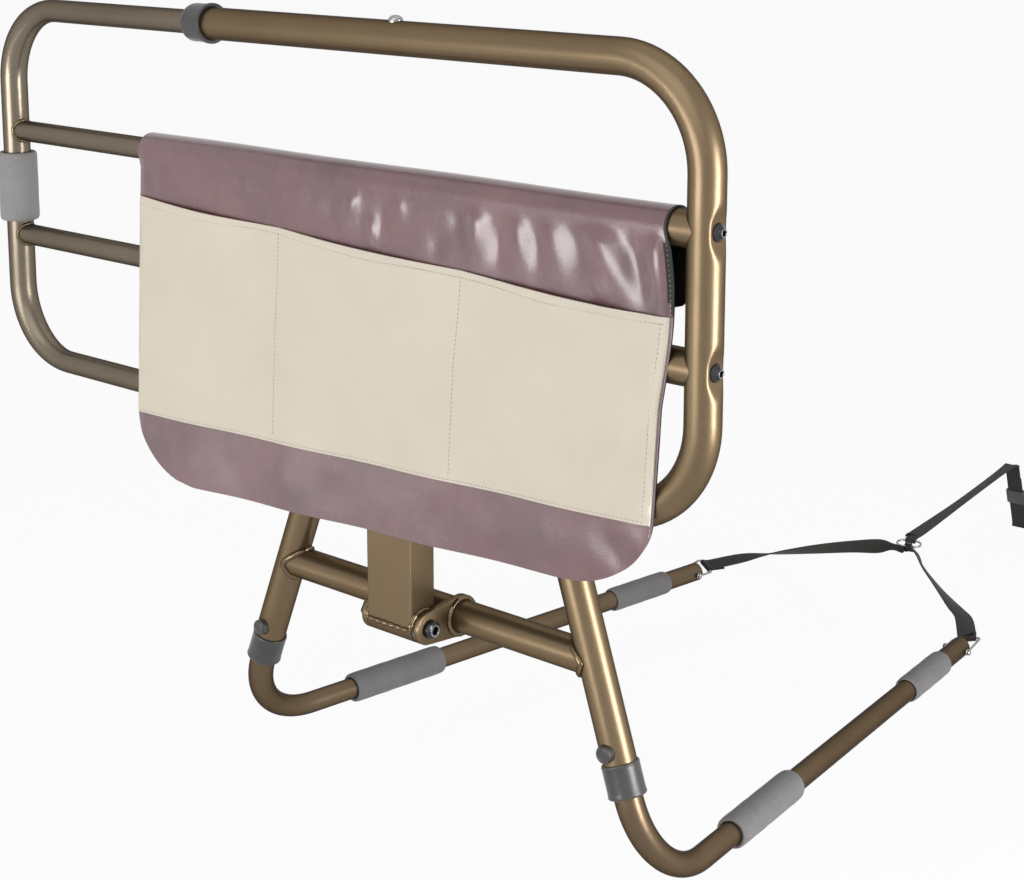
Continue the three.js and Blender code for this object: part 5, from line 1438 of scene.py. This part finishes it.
def buildStraps():
    # The bridle runs from the left ring through the oval to the right ring, and the main strap
    # from the oval over the edge of the mattress and down to its end loop
    places = {name: buildWireRing(name, sign) for name, sign in signs.items()}
    buildOvalRing()
    clear, narrow = web["ovalWire"] + 2 * gap + web["thick"] / 2, web["bunched"]
    ovalStations = [
        (*inOval(along * narrow, pull * clear - web["ovalRound"], up * clear), *-oval["long"],
         narrow)
        for along, pull, up in ovalPass
    ]
    bridle = (
        loopRound(places["left"], wireRing["wire"], web["tail"], web["width"])
        + twisted(bridleRoutes["left"], bridleTwists["left"], -1) + ovalStations
        + twisted(bridleRoutes["right"], bridleTwists["right"], 1)[::-1]
        + loopRound(places["right"], wireRing["wire"], web["tail"], web["width"])[::-1]
    )
    ribbon("bridle_webbing", bridle, ["bridle_strap"])
    dropAcross = unit(np.array([1.0, mainDrop["twist"], 0.0]))
    fall = unit(mainDrop["foot"] - mainDrop["top"])
    front = unit(np.cross(fall, dropAcross))
    ringLoop = {"middle": inOval(0, web["ovalRound"], 0), "axis": oval["long"],
                "pull": oval["pull"], "up": oval["up"]}
    endLoop = {"middle": mainDrop["foot"], "axis": dropAcross, "pull": -fall, "up": front}
    main = (
        loopRound(ringLoop, web["ovalWire"], web["tail"], web["mainLoop"])
        + [(*place, *tilted(dropAcross, twist), web["width"])
           for place, twist in zip(mainRoute, mainTwists)]
        + loopRound(endLoop, web["endLoop"], web["endTail"], web["width"])[::-1]
    )
    ribbon("main_webbing", main, ["main_strap"])
    buildBuckle(fall, front)


def buildBuckle(fall, front):
    # A rounded frame round both layers, as an outer and an inner rounded box joined at both ends
    middle = mainDrop["foot"] - fall * buckle["up"] + rivetMiddle
    across = np.cross(fall, front)
    deep = np.cross(across, fall)
    wide = web["width"] + 2 * buckle["slack"]
    thick = 2 * web["thick"] + web["layer"] + 2 * buckle["slack"]
    outer = roundedBox(wide + 2 * buckle["rim"], thick + 2 * buckle["face"], buckle["round"], 5)
    inner = roundedBox(wide, thick, buckle["innerRound"], 5)
    half, edge, scale = buckle["long"] / 2, buckle["edge"], buckle["endScale"]
    layers = [(outer, -half + edge), (outer, half - edge), (outer * scale, half), (inner, half),
              (inner, -half), (outer * scale, -half)]
    grid = np.stack([
        middle + section[:, :1] * across + section[:, 1:] * deep + height * fall
        for section, height in layers
    ])
    tubePiece("slide_buckle_frame", grid, darkPlastic, "slide_buckle",
              ["slide_buckle"])


buildStraps()
print("straps built")

studio = {
    "floorSize": 60.0, "floorColor": (0.86, 0.86, 0.86), "floorWhite": 0.94, "floorGap": 0.0005,
    "fill": 0.18, "lensMm": 70.012, "sensorMm": 36, "shift": -0.2, "tilt": 10.597,
    "turn": 41.229, "place": (1.1283, -1.1844, 0.8282),
}


def buildFloor():
    # A wide square just under the part. It takes light like a matt surface, and what sees it
    # directly sees mostly a plain white glow, so that it goes over into the white background.
    low = min(cadBounds[0][2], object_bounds()[0][2]) - studio["floorGap"]
    half = studio["floorSize"] / 2
    corners = [(-half, -half, low), (half, -half, low), (half, half, low), (-half, half, low)]
    mesh = bpy.data.meshes.new("floor")
    mesh.from_pydata(corners, [], [(0, 1, 2, 3)])
    floor = bpy.data.objects.new("floor", mesh)
    bpy.context.scene.collection.objects.link(floor)
    material, tree, shader = newMaterial("Pale floor", studio["floorColor"], 0.9, specular=0.1)
    glow = addNode(tree, "ShaderNodeEmission", Strength=1.0)
    mix = tree.nodes.new("ShaderNodeMixShader")
    seen = seenDirectly(tree)
    part = addNode(tree, "ShaderNodeMath", operation="MULTIPLY")
    part.inputs[1].default_value = studio["floorWhite"]
    tree.links.new(seen, part.inputs[0])
    tree.links.new(part.outputs[0], mix.inputs[0])
    tree.links.new(shader.outputs[0], mix.inputs[1])
    tree.links.new(glow.outputs[0], mix.inputs[2])
    tree.links.new(mix.outputs[0], tree.nodes["Material Output"].inputs[0])
    mesh.materials.append(material)


def seenDirectly(tree):
    # 1 for what the camera, a reflection or a view through glass sees
    light = tree.nodes.new("ShaderNodeLightPath")
    seen = light.outputs["Is Camera Ray"]
    for kind in ("Is Glossy Ray", "Is Transmission Ray"):
        both = addNode(tree, "ShaderNodeMath", operation="MAXIMUM")
        tree.links.new(seen, both.inputs[0])
        tree.links.new(light.outputs[kind], both.inputs[1])
        seen = both.outputs[0]
    return seen


def buildWorld():
    # White where it is seen directly and a weak white fill light elsewhere
    world = bpy.data.worlds.new("studio")
    bpy.context.scene.world = world
    world.use_nodes = True
    tree = world.node_tree
    background = tree.nodes["Background"]
    background.inputs["Color"].default_value = (1, 1, 1, 1)
    strength = ranged(tree, seenDirectly(tree), studio["fill"], 1.0, 0.0, 1.0)
    tree.links.new(strength, background.inputs["Strength"])


# Places and sizes in metres, power in watts
lamps = {
    "key": {"place": (-0.55, -2.7, 0.3), "aim": (0, 0, 0.4), "wide": 1.6, "tall": 0.7, "power": 38},
    "front": {"place": (0.4, -2.3, 2.5), "aim": (0, 0, 0.35), "wide": 3.0, "tall": 2.6,
              "power": 34},
    "right": {"place": (1.75, 0.2, 0.40), "aim": (0.2, -0.1, 0.36), "wide": 0.55, "tall": 0.9,
              "power": 34},
    "low": {"place": (-0.8, -0.86, 0.04), "aim": (0, 0, 0.25), "wide": 0.36, "tall": 0.17,
            "power": 0.35},
    "top": {"place": (0.0, 0.6, 3.2), "aim": (0, 0, 0.3), "wide": 2.4, "tall": 2.4, "power": 7},
}


def buildLamps():
    # Rectangular lamps, each turned towards its aim
    for name, lamp in lamps.items():
        light = bpy.data.lights.new(name, "AREA")
        light.energy = lamp["power"]
        light.shape = "RECTANGLE"
        light.size, light.size_y = lamp["wide"], lamp["tall"]
        holder = bpy.data.objects.new(name, light)
        bpy.context.scene.collection.objects.link(holder)
        way = Vector(lamp["aim"]) - Vector(lamp["place"])
        holder.location = lamp["place"]
        holder.rotation_euler = way.to_track_quat("-Z", "Y").to_euler()


def buildCamera():
    # Level in roll: tilted down from the horizon and turned about the vertical, in degrees
    data = bpy.data.cameras.new("camera")
    data.lens, data.sensor_width = studio["lensMm"], studio["sensorMm"]
    data.shift_y = studio["shift"]
    data.clip_start, data.clip_end = 0.01, 50
    camera = bpy.data.objects.new("camera", data)
    bpy.context.scene.collection.objects.link(camera)
    camera.location = studio["place"]
    camera.rotation_euler = (radians(90 - studio["tilt"]), 0, radians(studio["turn"]))
    bpy.context.scene.camera = camera


buildFloor()
buildWorld()
buildLamps()
buildCamera()
bpy.context.scene.view_settings.view_transform = "Standard"
print("studio ready")
